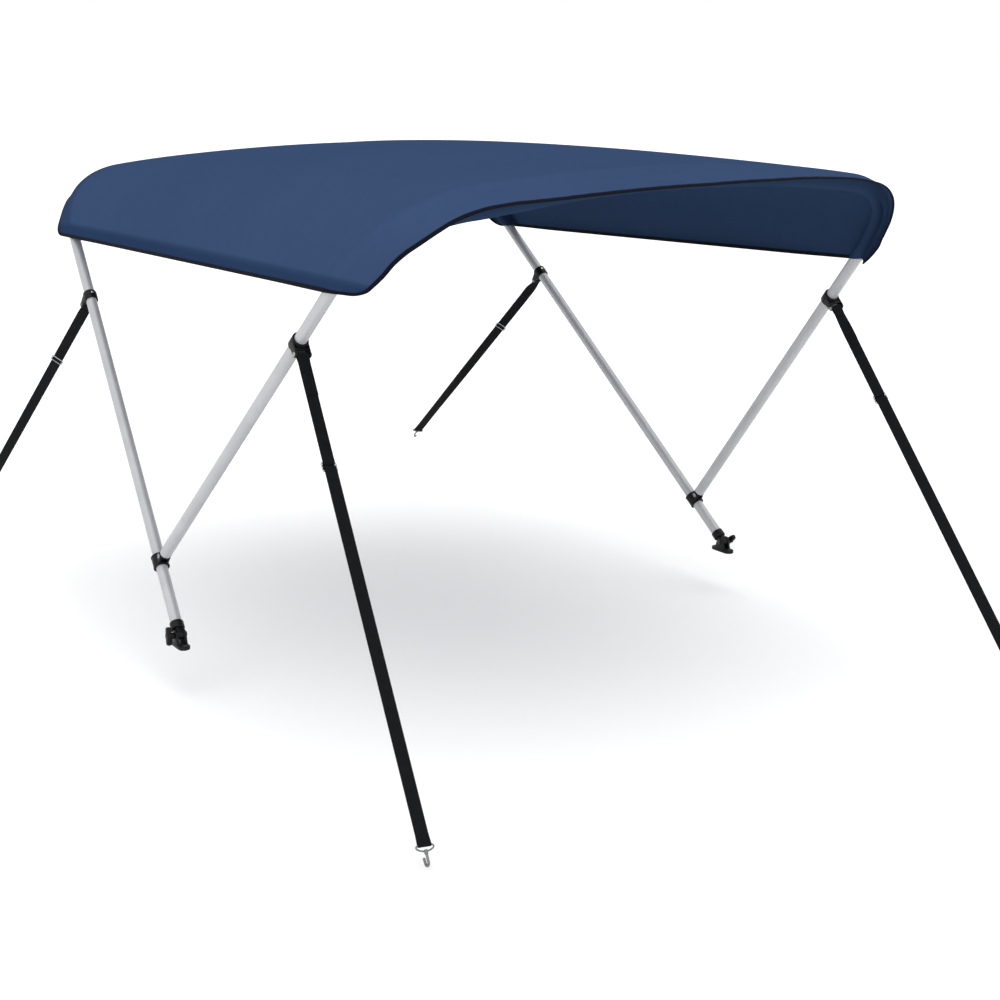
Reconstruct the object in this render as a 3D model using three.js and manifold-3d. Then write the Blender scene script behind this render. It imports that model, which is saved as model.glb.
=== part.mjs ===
// Two-bow bimini top: a cloth canopy on two folding tube bows, with deck hinges and four webbing straps.
// Millimetres, +Z up, +Y to the rear. The origin is on the deck, midway between the two deck hinges.
import * as THREE from "three";
import { mergeVertices } from "three/addons/utils/BufferGeometryUtils.js";
import Module from "manifold-3d";

const wasm = await Module();
wasm.setup();

// Frame: sizes that place the legs and the two bows
const HINGE_HALF_SPACING = 735;
const PIVOT_HEIGHT = 26;
const LEG_LEAN = 0.143; // inward, per unit of height
const MAIN_RAKE = 1.1539; // rearward, per unit of height
const JAW_HEIGHT = { left: 123.3, right: 90.6 }; // above the hinge pins
const TUBE_RADIUS = 12.7;
const TUBE_SIDES = 12;

// Bow crowns, from the hem upward: a gentle bend, a short straight, a tight bend, then the crown arc
const MAIN_HEM = { half: 626.2, y: 877.6, z: 760.6, lean: 0.0934, topTurn: 1.3737 };
const SECOND_HEM = { half: 631.3, y: -548.6, z: 772.6, lean: 0.0927, topTurn: 1.3852 };
const SECOND_RAKE = -1.0096;
const LOW_BEND = { radius: 351.7, turn: 0.3055 };
const BEND_STRAIGHT = 25.4;
const HIGH_BEND = { radius: 217.1 };

// Canopy cloth
const CLOTH = 1.5;
const CLOTH_RADIUS = 15.5; // tube centre to the middle of the cloth
// How far the cloth's hem lies below the bows' hem points, along each bow's legs
const HEM_DROP = {
  main: { left: -19, right: 25 },
  second: { left: -4, right: 19 },
};
const BULGE = 32; // rise of the cloth between the bows, at mid span
// Cloth past the bows, at the left hem, left shoulder, crown, right shoulder and right hem: length and inward turn.
// A high ease keeps the hem's value further up the leg.
const REAR_FLAP = { length: [110, 70, 64, 72, 76], turn: [-0.05, 0.85, 0.756, 0.6, 0.45], ease: { left: 1, right: 1 } };
const FRONT_FLAP = { length: [70, 74, 78, 72, 72], turn: [0.85, 0.5, 0.38, 0.08, 1.0], ease: { left: 1, right: 3 } };
const SHOULDER_SHARE = 0.43; // of the way from the hem to the crown
const CORNER_RADIUS = { cloth: 22, tape: 33 };
const SPAN_STEPS = 8;
const HEM_STRETCH = 1.5; // the legs lean, so a band along the hem is wider when measured along them

// Binding tape along every edge
const TAPE_WIDTH = 11;
const TAPE = 3.2;
const TAPE_GAP = 0.7;

// Sleeves under the cloth that hold the bows
const SLEEVE = 1.2;
const SLEEVE_SEAM = 19; // from the tube to the start of the sewn margin
const SLEEVE_MARGIN = 7;
const SLEEVE_DEPTH = 2.5; // below the middle of the cloth
const SLEEVE_RADIUS = 15.3;
const SLEEVE_TURNS = [-1.05, -0.35, 0.35, 1.05]; // round the underside of the tube
const SLEEVE_CLEAR = 6; // above the tape, along the legs

// Webbing
const WEB = { width: 25, thickness: 1.3, gap: 0.35 };
const SEWN_BACK = 85;
const SLIDER_AT = { front: 230, rear: 270 };
const CLAMP_HEIGHT = {
  front_left: 669.2,
  front_right: 673.8,
  rear_left: 635.8,
  rear_right: 625.5,
};
const STRAP_END = {
  front: [714, -1019, -86],
  rear: [700, 1537, 37],
};

// Fittings
const FIT = 0.35; // air between pieces that touch
const TONGUE = 11.6;
const EAR_INNER = TONGUE / 2 + 0.6; // half the slot between two ears
const EAR = 5.5;
const EAR_FACE = EAR_INNER + EAR;
const BOLT = 3.2;
const BORE_SIDES = 12;

const ALUMINIUM = 0xb9bcc0;
const NYLON = 0x1a1b1d;
const CANVAS = 0x3f547c;
const TAPE_BLACK = 0x1c1d22;
const WEBBING = 0x1b1c1f;
const STEEL = 0x9a9da1;
const WIRE = 0x6d7074;

const part = new THREE.Group();
part.name = "bimini_top";

function vec(x, y, z) {
  return new THREE.Vector3(x, y, z);
}

function along(point, direction, distance) {
  return point.clone().addScaledVector(direction, distance);
}

function add(name, geometry, color) {
  const mesh = new THREE.Mesh(geometry, new THREE.MeshStandardMaterial({ color, name }));
  mesh.name = name;
  part.add(mesh);
}

// Solids that are added or cut

function solid(geometry) {
  const bare = new THREE.BufferGeometry();
  const flat = geometry.index ? geometry.toNonIndexed() : geometry;
  bare.setAttribute("position", flat.getAttribute("position").clone());
  const merged = mergeVertices(bare, 1e-4);
  return new wasm.Manifold(
    new wasm.Mesh({
      numProp: 3,
      vertProperties: new Float32Array(merged.attributes.position.array),
      triVerts: new Uint32Array(merged.index.array),
    }),
  );
}

function geometryOf(made) {
  const mesh = made.getMesh();
  const geometry = new THREE.BufferGeometry();
  geometry.setAttribute("position", new THREE.BufferAttribute(new Float32Array(mesh.vertProperties), 3));
  geometry.setIndex(new THREE.BufferAttribute(new Uint32Array(mesh.triVerts), 1));
  geometry.computeVertexNormals();
  return geometry;
}

function joined(pieces, cuts = []) {
  let made = wasm.Manifold.union(pieces.map(solid));
  for (const cut of cuts) made = made.subtract(solid(cut));
  return geometryOf(made);
}

// Primitive shapes in a fitting's own frame

function rodX(radius, from, to, y, z, sides = 12) {
  const rod = new THREE.CylinderGeometry(radius, radius, to - from, sides);
  rod.rotateZ(Math.PI / 2);
  rod.translate((from + to) / 2, y, z);
  return rod;
}

// Radius of a many-sided bore whose flats clear a round piece of the given radius
function boreRadius(radius, sides) {
  return (radius + FIT) / Math.cos(Math.PI / sides);
}

function rodZ(radius, from, to, sides = 20) {
  const rod = new THREE.CylinderGeometry(radius, radius, to - from, sides);
  rod.rotateX(Math.PI / 2);
  rod.translate(0, 0, (from + to) / 2);
  return rod;
}

// A flat outline in the y, z plane, thick from one x to another
function slabX(shape, from, to) {
  const slab = new THREE.ExtrudeGeometry(shape, { depth: to - from, bevelEnabled: false, curveSegments: 8 });
  slab.applyMatrix4(new THREE.Matrix4().makeBasis(vec(0, 1, 0), vec(0, 0, 1), vec(1, 0, 0)));
  slab.translate(from, 0, 0);
  return slab;
}

function slabZ(shape, from, to) {
  const slab = new THREE.ExtrudeGeometry(shape, { depth: to - from, bevelEnabled: false, curveSegments: 8 });
  slab.translate(0, 0, from);
  return slab;
}

function stadium(length, width) {
  const half = length / 2 - width / 2;
  const shape = new THREE.Shape();
  shape.absarc(0, half, width / 2, 0, Math.PI, false);
  shape.absarc(0, -half, width / 2, Math.PI, 2 * Math.PI, false);
  return shape;
}

// An ear or tongue: a round eye at (y, z) with sides that run to a root of the given half width
function eyeOutline(eye, radius, rootHalf, rootAt) {
  const reach = eye.length();
  const dir = eye.clone().normalize();
  const side = new THREE.Vector2(-dir.y, dir.x);
  const shape = new THREE.Shape();
  const point = (forward, across) => dir.clone().multiplyScalar(forward).addScaledVector(side, across);
  const start = point(rootAt, -rootHalf);
  shape.moveTo(start.x, start.y);
  const steps = 8;
  for (let i = 0; i <= steps; i++) {
    const turn = -Math.PI / 2 + (Math.PI * i) / steps;
    const p = point(reach + radius * Math.cos(turn), radius * Math.sin(turn));
    shape.lineTo(p.x, p.y);
  }
  const end = point(rootAt, rootHalf);
  shape.lineTo(end.x, end.y);
  shape.closePath();
  return shape;
}

function basis(origin, x, y, z) {
  return new THREE.Matrix4().makeBasis(x, y, z).setPosition(origin);
}

// A closed solid through rings of points, all with the same even count. Its end caps are strips across the ring.
function loft(rings) {
  const count = rings[0].length;
  const position = [];
  const index = [];
  for (const ring of rings) for (const p of ring) position.push(p.x, p.y, p.z);
  for (let i = 0; i + 1 < rings.length; i++) {
    for (let j = 0; j < count; j++) {
      const a = i * count + j;
      const b = i * count + ((j + 1) % count);
      index.push(a, b, b + count, a, b + count, a + count);
    }
  }
  const last = (rings.length - 1) * count;
  for (let j = 0; j + 1 < count / 2; j++) {
    const [b, c, d] = [j + 1, count - 2 - j, count - 1 - j];
    index.push(j, c, b, j, d, c);
    index.push(last + j, last + b, last + c, last + j, last + c, last + d);
  }
  return meshFrom(position, index);
}

// The same with the last ring joined to the first
function loopLoft(rings) {
  const count = rings[0].length;
  const position = [];
  const index = [];
  for (const ring of rings) for (const p of ring) position.push(p.x, p.y, p.z);
  for (let i = 0; i < rings.length; i++) {
    const next = (i + 1) % rings.length;
    for (let j = 0; j < count; j++) {
      const k = (j + 1) % count;
      const a = i * count + j;
      const b = i * count + k;
      const c = next * count + k;
      const d = next * count + j;
      index.push(a, b, c, a, c, d);
    }
  }
  return meshFrom(position, index);
}

function meshFrom(position, index) {
  const geometry = new THREE.BufferGeometry();
  geometry.setAttribute("position", new THREE.Float32BufferAttribute(position, 3));
  geometry.setIndex(index);
  if (signedVolume(position, index) < 0) {
    for (let i = 0; i < index.length; i += 3) [index[i + 1], index[i + 2]] = [index[i + 2], index[i + 1]];
    geometry.setIndex(index);
  }
  geometry.computeVertexNormals();
  return geometry;
}

function signedVolume(position, index) {
  let total = 0;
  const corner = (i) => vec(position[3 * i], position[3 * i + 1], position[3 * i + 2]);
  for (let i = 0; i < index.length; i += 3) {
    const [a, b, c] = [corner(index[i]), corner(index[i + 1]), corner(index[i + 2])];
    total += a.dot(b.cross(c)) / 6;
  }
  return total;
}

// Frame lines

function legPoint(side, height) {
  return vec(side * (HINGE_HALF_SPACING - LEG_LEAN * height), MAIN_RAKE * height, PIVOT_HEIGHT + height);
}

function sideName(side) {
  return side < 0 ? "left" : "right";
}

const bows = {
  main: { hem: MAIN_HEM, drop: HEM_DROP.main, rake: MAIN_RAKE, outward: 1, flap: REAR_FLAP },
  second: { hem: SECOND_HEM, drop: HEM_DROP.second, rake: SECOND_RAKE, outward: -1, flap: FRONT_FLAP },
};

// Point and outward turn of a bow's centre line at a distance above the hem point, on the +x side
function halfBow(hem, distance) {
  let x = hem.half;
  let v = 0;
  let turn = hem.lean;
  let left = distance;
  const straight = (length) => {
    x -= Math.sin(turn) * length;
    v += Math.cos(turn) * length;
    left -= length;
  };
  const bend = (radius, target) => {
    const full = radius * (target - turn);
    const used = Math.min(left, full);
    const next = turn + used / radius;
    x += radius * (Math.cos(next) - Math.cos(turn));
    v += radius * (Math.sin(next) - Math.sin(turn));
    turn = next;
    left -= used;
  };
  if (distance < 0) {
    straight(distance);
    return { x, v, turn };
  }
  bend(LOW_BEND.radius, LOW_BEND.turn);
  if (left > 0) straight(Math.min(left, BEND_STRAIGHT));
  if (left > 0) bend(HIGH_BEND.radius, hem.topTurn);
  if (left > 0) bend(x / Math.cos(turn), Math.PI / 2);
  return { x, v, turn };
}

function halfLength(hem) {
  const low = LOW_BEND.radius * (LOW_BEND.turn - hem.lean);
  const high = HIGH_BEND.radius * (hem.topTurn - LOW_BEND.turn);
  const top = halfBow(hem, low + BEND_STRAIGHT + high);
  const crownRadius = top.x / Math.cos(top.turn);
  return { bends: low + BEND_STRAIGHT + high, whole: low + BEND_STRAIGHT + high + crownRadius * (Math.PI / 2 - top.turn) };
}

// One place on a bow: centre, tangent towards the right hem, and in-plane outward normal
function bowStation(bow, side, distance) {
  const at = halfBow(bow.hem, distance);
  const grade = Math.hypot(1, bow.rake);
  const rise = vec(0, bow.rake / grade, 1 / grade);
  const centre = vec(side * at.x, bow.hem.y, PIVOT_HEIGHT + bow.hem.z).addScaledVector(rise, at.v);
  const normal = vec(side * Math.cos(at.turn), 0, 0).addScaledVector(rise, Math.sin(at.turn));
  const tangent = vec(Math.sin(at.turn), 0, 0).addScaledVector(rise, -side * Math.cos(at.turn));
  return { centre, normal, tangent, side, distance };
}

// Distances above the hem at which both bows and the cloth have a row, as shares of the half bow
function rowShares() {
  const shares = [];
  for (let i = 1; i <= 6; i++) shares.push(0.0225 * i);
  const bendRows = 9;
  for (let i = 1; i <= bendRows; i++) shares.push(0.135 + (0.29 * i) / bendRows);
  const crownRows = 5;
  for (let i = 1; i <= crownRows; i++) shares.push(0.425 + (0.575 * i) / crownRows);
  return shares;
}

// Rows next to the hem, where the corners are rounded, as shares of the corner radius
const CORNER_ROWS = [0, 0.1, 0.3, 0.6, 1];

// Rows of a sheet whose hem lies a little above the tape's outer edge
function rowsOf(bow, inset, corner) {
  const whole = halfLength(bow.hem).whole;
  const sideRows = (side) => {
    const name = sideName(side);
    const start = -bow.drop[name];
    const list = CORNER_ROWS.map((share) => start + inset + share * corner);
    const cornersEnd = TAPE_WIDTH * HEM_STRETCH + CORNER_RADIUS.tape - Math.min(HEM_DROP.main[name], HEM_DROP.second[name]);
    for (const share of rowShares()) {
      if (share * whole > cornersEnd) list.push(share * whole);
    }
    return list.map((distance) => ({ side, distance, above: distance - start - inset }));
  };
  const left = sideRows(-1);
  const right = sideRows(1);
  right.pop();
  return [...left, ...right.reverse()].map((row) => ({
    ...bowStation(bow, row.side, row.distance),
    above: row.above,
  }));
}

const REARWARD = vec(0, 1, 0);

// The cloth's outward direction over the tube: square to the tube and to the pull between the bows
function clothNormal(station) {
  const n = station.tangent.clone().cross(REARWARD).normalize();
  return n.dot(station.normal) < 0 ? n.negate() : n;
}

function flapAt(bow, station, key) {
  const table = bow.flap[key];
  const [hem, shoulder] = station.side < 0 ? table : [...table].reverse();
  const crown = table[2];
  const share = THREE.MathUtils.clamp(station.distance / halfLength(bow.hem).whole, 0, 1);
  const ease = bow.flap.ease[sideName(station.side)];
  if (share < SHOULDER_SHARE) return hem + (shoulder - hem) * (share / SHOULDER_SHARE) ** ease;
  return shoulder + ((crown - shoulder) * (share - SHOULDER_SHARE)) / (1 - SHOULDER_SHARE);
}

function cornerInset(above, corner) {
  const short = THREE.MathUtils.clamp(corner - above, 0, corner);
  return corner - Math.sqrt(corner ** 2 - short ** 2);
}

// Cloth from the tube outward over the end: contact line first, free edge last
function flapRow(bow, station, inset, corner) {
  const n = clothNormal(station);
  const out = vec(0, bow.outward, 0);
  const squareness = Math.sqrt(1 - station.tangent.y ** 2);
  const turn = flapAt(bow, station, "turn");
  const wrap = Math.atan(Math.tan(turn) / squareness);
  const whole = flapAt(bow, station, "length");
  const length = whole - inset / squareness - cornerInset(station.above, corner);
  const points = [0, 0.5, 1].map((share) =>
    along(
      along(station.centre, n, CLOTH_RADIUS * Math.cos(wrap * share)),
      out,
      (CLOTH_RADIUS * Math.sin(wrap * share)) / squareness,
    ),
  );
  const run = along(out.clone().multiplyScalar(Math.cos(turn)), n, -Math.sin(turn));
  const end = points[2];
  const face = station.tangent.clone().cross(run).normalize();
  if (face.dot(n) < 0) face.negate();
  points.push(along(end, run, length / 2), along(end, run, length));
  return { points, run, end, n, face };
}

// Rows of points over the whole sheet, front edge to rear edge, left hem to right hem
function clothGrid(inset, corner) {
  const hemInset = inset * HEM_STRETCH;
  const mains = rowsOf(bows.main, hemInset, corner);
  const seconds = rowsOf(bows.second, hemInset, corner);
  const hemHeight = Math.min(mains[0].centre.z, mains.at(-1).centre.z);
  const crownHeight = Math.max(...mains.map((r) => r.centre.z));
  return mains.map((main, i) => {
    const rear = flapRow(bows.main, main, inset, corner);
    const front = flapRow(bows.second, seconds[i], inset, corner);
    const up = THREE.MathUtils.clamp((main.centre.z - hemHeight) / (crownHeight - hemHeight), 0, 1);
    const row = [...front.points].reverse();
    for (let k = 1; k < SPAN_STEPS; k++) {
      const f = k / SPAN_STEPS;
      const p = front.points[0].clone().lerp(rear.points[0], f);
      p.z += BULGE * up * 4 * f * (1 - f);
      row.push(p);
    }
    row.push(...rear.points);
    return row;
  });
}

function gridNormals(grid) {
  const rows = grid.length;
  const cols = grid[0].length;
  const normals = grid.map((row, i) =>
    row.map((p, j) => {
      const across = grid[i][Math.min(j + 1, cols - 1)].clone().sub(grid[i][Math.max(j - 1, 0)]);
      const upward = grid[Math.min(i + 1, rows - 1)][j].clone().sub(grid[Math.max(i - 1, 0)][j]);
      return upward.cross(across).normalize();
    }),
  );
  const crown = normals[Math.floor(rows / 2)][Math.floor(cols / 2)];
  if (crown.z < 0) for (const row of normals) for (const n of row) n.negate();
  return normals;
}

// A closed sheet of even thickness on a grid of points
function sheetSolid(grid, normals, thickness) {
  const rows = grid.length;
  const cols = grid[0].length;
  const position = [];
  for (const half of [thickness / 2, -thickness / 2]) {
    grid.forEach((row, i) =>
      row.forEach((p, j) => {
        const q = along(p, normals[i][j], half);
        position.push(q.x, q.y, q.z);
      }),
    );
  }
  const index = [];
  const size = rows * cols;
  const at = (i, j, layer) => layer * size + i * cols + j;
  for (let i = 0; i + 1 < rows; i++) {
    for (let j = 0; j + 1 < cols; j++) {
      const quad = [at(i, j, 0), at(i, j + 1, 0), at(i + 1, j + 1, 0), at(i + 1, j, 0)];
      index.push(quad[0], quad[1], quad[2], quad[0], quad[2], quad[3]);
      index.push(quad[0] + size, quad[2] + size, quad[1] + size, quad[0] + size, quad[3] + size, quad[2] + size);
    }
  }
  const rim = rimOf(rows, cols);
  for (let k = 0; k < rim.length; k++) {
    const [i, j] = rim[k];
    const [m, n] = rim[(k + 1) % rim.length];
    index.push(at(i, j, 0), at(i, j, 1), at(m, n, 1), at(i, j, 0), at(m, n, 1), at(m, n, 0));
  }
  return meshFrom(position, index);
}

function rimOf(rows, cols) {
  const rim = [];
  for (let j = 0; j < cols - 1; j++) rim.push([0, j]);
  for (let i = 0; i < rows - 1; i++) rim.push([i, cols - 1]);
  for (let j = cols - 1; j > 0; j--) rim.push([rows - 1, j]);
  for (let i = rows - 1; i > 0; i--) rim.push([i, 0]);
  return rim;
}

// The band of tape between the cloth's rim and the outer rim
function bindingSolid(outer, outerNormals, inner, innerNormals) {
  const rim = rimOf(outer.length, outer[0].length);
  const rings = rim.map(([i, j]) => [
    along(inner[i][j], innerNormals[i][j], TAPE / 2),
    along(outer[i][j], outerNormals[i][j], TAPE / 2),
    along(outer[i][j], outerNormals[i][j], -TAPE / 2),
    along(inner[i][j], innerNormals[i][j], -TAPE / 2),
  ]);
  return loopLoft(rings);
}

// The sleeve's strip at one row: sewn margin, round under the tube, sewn margin
function sleeveRing(bow, station, other) {
  const flap = flapRow(bow, station, 0, 0);
  const pull = other.centre.clone().sub(station.centre).addScaledVector(clothNormal(other), CLOTH_RADIUS);
  pull.addScaledVector(flap.n, -CLOTH_RADIUS).normalize();
  const square = station.tangent.clone().cross(flap.n).normalize();
  if (square.y * bow.outward < 0) square.negate();
  const under = (turn) =>
    along(along(station.centre, flap.n, -SLEEVE_RADIUS * Math.cos(turn)), square, SLEEVE_RADIUS * Math.sin(turn));
  const top = along(station.centre, flap.n, CLOTH_RADIUS - SLEEVE_DEPTH);
  const seam = along(flap.end, flap.face, -SLEEVE_DEPTH);
  const slant = 1 / Math.sqrt(1 - station.tangent.y ** 2);
  const path = [
    along(top, pull, (SLEEVE_SEAM + SLEEVE_MARGIN) * slant),
    along(top, pull, SLEEVE_SEAM * slant),
    ...SLEEVE_TURNS.map(under),
    along(seam, flap.run, SLEEVE_SEAM * slant),
    along(seam, flap.run, (SLEEVE_SEAM + SLEEVE_MARGIN) * slant),
  ];
  const ring = [];
  for (const half of [SLEEVE / 2, -SLEEVE / 2]) {
    const line = path.map((p, k) => {
      const run = path[Math.min(k + 1, path.length - 1)].clone().sub(path[Math.max(k - 1, 0)]).normalize();
      const face = station.tangent.clone().cross(run).normalize();
      return along(p, face, half);
    });
    ring.push(...(half > 0 ? line : line.reverse()));
  }
  return ring;
}

function sleeveSolid(bow, other) {
  const inset = TAPE_WIDTH * HEM_STRETCH + SLEEVE_CLEAR;
  const rows = rowsOf(bow, inset, CORNER_RADIUS.cloth);
  const others = rowsOf(other, inset, CORNER_RADIUS.cloth);
  const kept = rows.map((row, i) => i).filter((i) => i === 0 || i === rows.length - 1 || rows[i].above > 12);
  return loft(kept.map((i) => sleeveRing(bow, rows[i], others[i])));
}

// Tubes

function tubeRing(centre, tangent, planeNormal) {
  const n = planeNormal.clone().cross(tangent).normalize();
  const b = tangent.clone().cross(n).normalize();
  const ring = [];
  for (let k = 0; k < TUBE_SIDES; k++) {
    const turn = (2 * Math.PI * k) / TUBE_SIDES;
    ring.push(along(along(centre, n, TUBE_RADIUS * Math.cos(turn)), b, TUBE_RADIUS * Math.sin(turn)));
  }
  return ring;
}

function bowTube(bow, startLeft, startRight) {
  const planeNormal = vec(1, 0, 0).cross(vec(0, bow.rake, 1)).normalize();
  const whole = halfLength(bow.hem).whole;
  const distances = rowShares().map((share) => share * whole);
  const left = distances.map((distance) => bowStation(bow, -1, distance));
  const right = distances.slice(0, -1).reverse().map((distance) => bowStation(bow, 1, distance));
  const rows = [...left, ...right];
  const hemLeft = bowStation(bow, -1, 0);
  const hemRight = bowStation(bow, 1, 0);
  const up = hemLeft.centre.clone().sub(startLeft).normalize();
  const down = startRight.clone().sub(hemRight.centre).normalize();
  const rings = [tubeRing(startLeft, up, planeNormal)];
  rings.push(tubeRing(hemLeft.centre, up.clone().add(hemLeft.tangent).normalize(), planeNormal));
  for (const r of rows) rings.push(tubeRing(r.centre, r.tangent, planeNormal));
  rings.push(tubeRing(hemRight.centre, down.clone().add(hemRight.tangent).normalize(), planeNormal));
  rings.push(tubeRing(startRight, down, planeNormal));
  return loft(rings);
}

// Deck hinges and lower leg ends

const LEG_CUP = { from: 13, floor: 18, to: 31, outer: 15, eye: 10.5 };
const PLATE = { length: 72, width: 26, thickness: 5, ear: 11.5, earRoot: 18, screw: 2.6, screwAt: 27 };
const HINGE_HEAD = { radius: 5.6, thickness: 3.25 };
const KNOB = { stem: 6.5, length: 36, width: 17, from: 6, to: 17, tiltRight: 0.6 };

function deckHinge() {
  const plate = slabZ(stadium(PLATE.length, PLATE.width), 0, PLATE.thickness);
  const outline = eyeOutline(new THREE.Vector2(0, PIVOT_HEIGHT), PLATE.ear, PLATE.earRoot, PLATE.thickness - 1);
  const ears = [slabX(outline, EAR_INNER, EAR_FACE), slabX(outline, -EAR_FACE, -EAR_INNER)];
  const screwHole = (y) => rodZ(PLATE.screw, -1, PLATE.thickness + 1, BORE_SIDES).translate(0, y, 0);
  const cuts = [rodX(boreRadius(BOLT, BORE_SIDES), -EAR_FACE - 1, EAR_FACE + 1, 0, PIVOT_HEIGHT)];
  cuts.push(screwHole(PLATE.screwAt), screwHole(-PLATE.screwAt));
  return joined([plate, ...ears], cuts);
}

function hingeBolt() {
  const face = EAR_FACE + FIT;
  return joined([rodX(BOLT, -face - 1, face, 0, 0), rodX(HINGE_HEAD.radius, -face - HINGE_HEAD.thickness, -face, 0, 0, 6)]);
}

function wingKnob(angle) {
  const face = EAR_FACE + 2 * FIT;
  const stem = rodX(KNOB.stem, face, face + KNOB.from + 1, 0, 0);
  const wing = slabX(stadium(KNOB.length, KNOB.width), face + KNOB.from, face + KNOB.to);
  wing.rotateX(angle - Math.PI / 2);
  return joined([stem, wing]);
}

// An eye end: flat tongue round the pin, then a collar that meets the tube. Own frame: z along the tube.
function eyeEnd(collar, tilt) {
  const bridgeHeight = collar.from + 2;
  const bridge = new THREE.BoxGeometry(TONGUE, 2 * collar.eye, bridgeHeight);
  bridge.translate(0, 0, bridgeHeight / 2);
  const ring = rodZ(collar.outer, collar.from, collar.to);
  ring.rotateY(tilt);
  const pieces = [rodX(collar.eye, -TONGUE / 2, TONGUE / 2, 0, 0, 24), bridge, ring];
  const cuts = [rodX(boreRadius(BOLT, BORE_SIDES), -TONGUE, TONGUE, 0, 0)];
  if (collar.floor < collar.to) {
    const bore = rodZ(boreRadius(TUBE_RADIUS, 20), collar.floor, collar.to + 5);
    bore.rotateY(tilt);
    cuts.push(bore);
  }
  return joined(pieces, cuts);
}

function buildHinges() {
  for (const side of [-1, 1]) {
    const name = sideName(side);
    const pin = legPoint(side, 0);
    const direction = legPoint(side, 1).sub(pin).normalize();
    const hinge = deckHinge();
    hinge.translate(side * HINGE_HALF_SPACING, 0, 0);
    add("deck_hinge_" + name, hinge, NYLON);
    const outward = basis(pin, vec(side, 0, 0), vec(0, side, 0), vec(0, 0, 1));
    add("hinge_bolt_" + name, hingeBolt().applyMatrix4(outward), STEEL);
    const knobTilt = side < 0 ? Math.PI / 2 : Math.PI - KNOB.tiltRight;
    add("hinge_knob_" + name, wingKnob(knobTilt).applyMatrix4(outward), NYLON);
    const upright = vec(0, direction.y, direction.z).normalize();
    const tilt = Math.atan2(direction.x, Math.hypot(direction.y, direction.z));
    const frame = basis(pin, vec(1, 0, 0), upright.clone().cross(vec(1, 0, 0)), upright);
    const end = eyeEnd(LEG_CUP, tilt);
    add("leg_end_" + name, end.applyMatrix4(frame), NYLON);
  }
}

// Jaw slides on the main legs, with the second bow's ends in them

const JAW = { reach: 25.2, outer: 17, half: 15, eye: 7.6, head: 5.2, headThick: 2.2 };
const BOW_END = { from: 9.2, floor: 12 };

function secondLeg(side) {
  const joint = legPoint(side, JAW_HEIGHT[sideName(side)]);
  const top = bowStation(bows.second, side, 0).centre;
  return { joint, direction: top.sub(joint).normalize() };
}

function buildJaws() {
  for (const side of [-1, 1]) {
    const name = sideName(side);
    const { joint, direction } = secondLeg(side);
    const tube = legPoint(side, 1).sub(legPoint(side, 0)).normalize();
    const lift = direction.dot(tube);
    const out = along(direction, tube, -lift).normalize();
    const cross = out.clone().cross(tube);
    const frame = basis(joint, cross, out, tube);
    const eye = new THREE.Vector2(JAW.reach * direction.dot(out), JAW.reach * lift);
    const outline = eyeOutline(eye, JAW.eye + 1, JAW.eye + 3, JAW.half - 0.5);
    const body = [
      rodZ(JAW.outer, -JAW.half, JAW.half),
      slabX(outline, EAR_INNER, EAR_FACE),
      slabX(outline, -EAR_FACE, -EAR_INNER),
    ];
    const slide = joined(body, [
      rodZ(boreRadius(TUBE_RADIUS, 20), -JAW.half - 2, JAW.half + 2),
      rodX(boreRadius(BOLT, BORE_SIDES), -EAR_FACE - 1, EAR_FACE + 1, eye.x, eye.y),
    ]);
    add("jaw_slide_" + name, slide.applyMatrix4(frame), NYLON);
    const pin = along(joint, direction, JAW.reach);
    const headAt = EAR_FACE + FIT;
    const bolt = joined([
      rodX(BOLT, -EAR_FACE - 1, EAR_FACE + 1, 0, 0),
      rodX(JAW.head, -headAt - JAW.headThick, -headAt, 0, 0),
      rodX(JAW.head, headAt, headAt + JAW.headThick, 0, 0),
    ]);
    add("jaw_bolt_" + name, bolt.applyMatrix4(basis(pin, cross, out, tube)), STEEL);
    const endFrame = basis(pin, cross, direction.clone().cross(cross), direction);
    const collar = { eye: JAW.eye, from: BOW_END.from, floor: BOW_END.floor, to: BOW_END.floor, outer: TUBE_RADIUS };
    add("bow_end_" + name, eyeEnd(collar, 0).applyMatrix4(endFrame), NYLON);
  }
}

// Strap clamps, straps, sliders and hooks

const CLAMP = { outer: 16.4, half: 12, reach: 27, ear: 3.2, earInner: 13.2, eye: 6.5, bolt: 2.4, head: 4.6, headThick: 2.6 };

// A webbing path in its own plane: x down the strap, y towards its inner face
function arc(centre, radius, from, to, steps) {
  const points = [];
  for (let i = 0; i <= steps; i++) {
    const turn = from + ((to - from) * i) / steps;
    points.push(new THREE.Vector2(centre.x + radius * Math.cos(turn), centre.y + radius * Math.sin(turn)));
  }
  return points;
}

const SLIDER = { wire: 1.3, half: 8.5 };
const HOOK_WIRE = 1.5;

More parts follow.
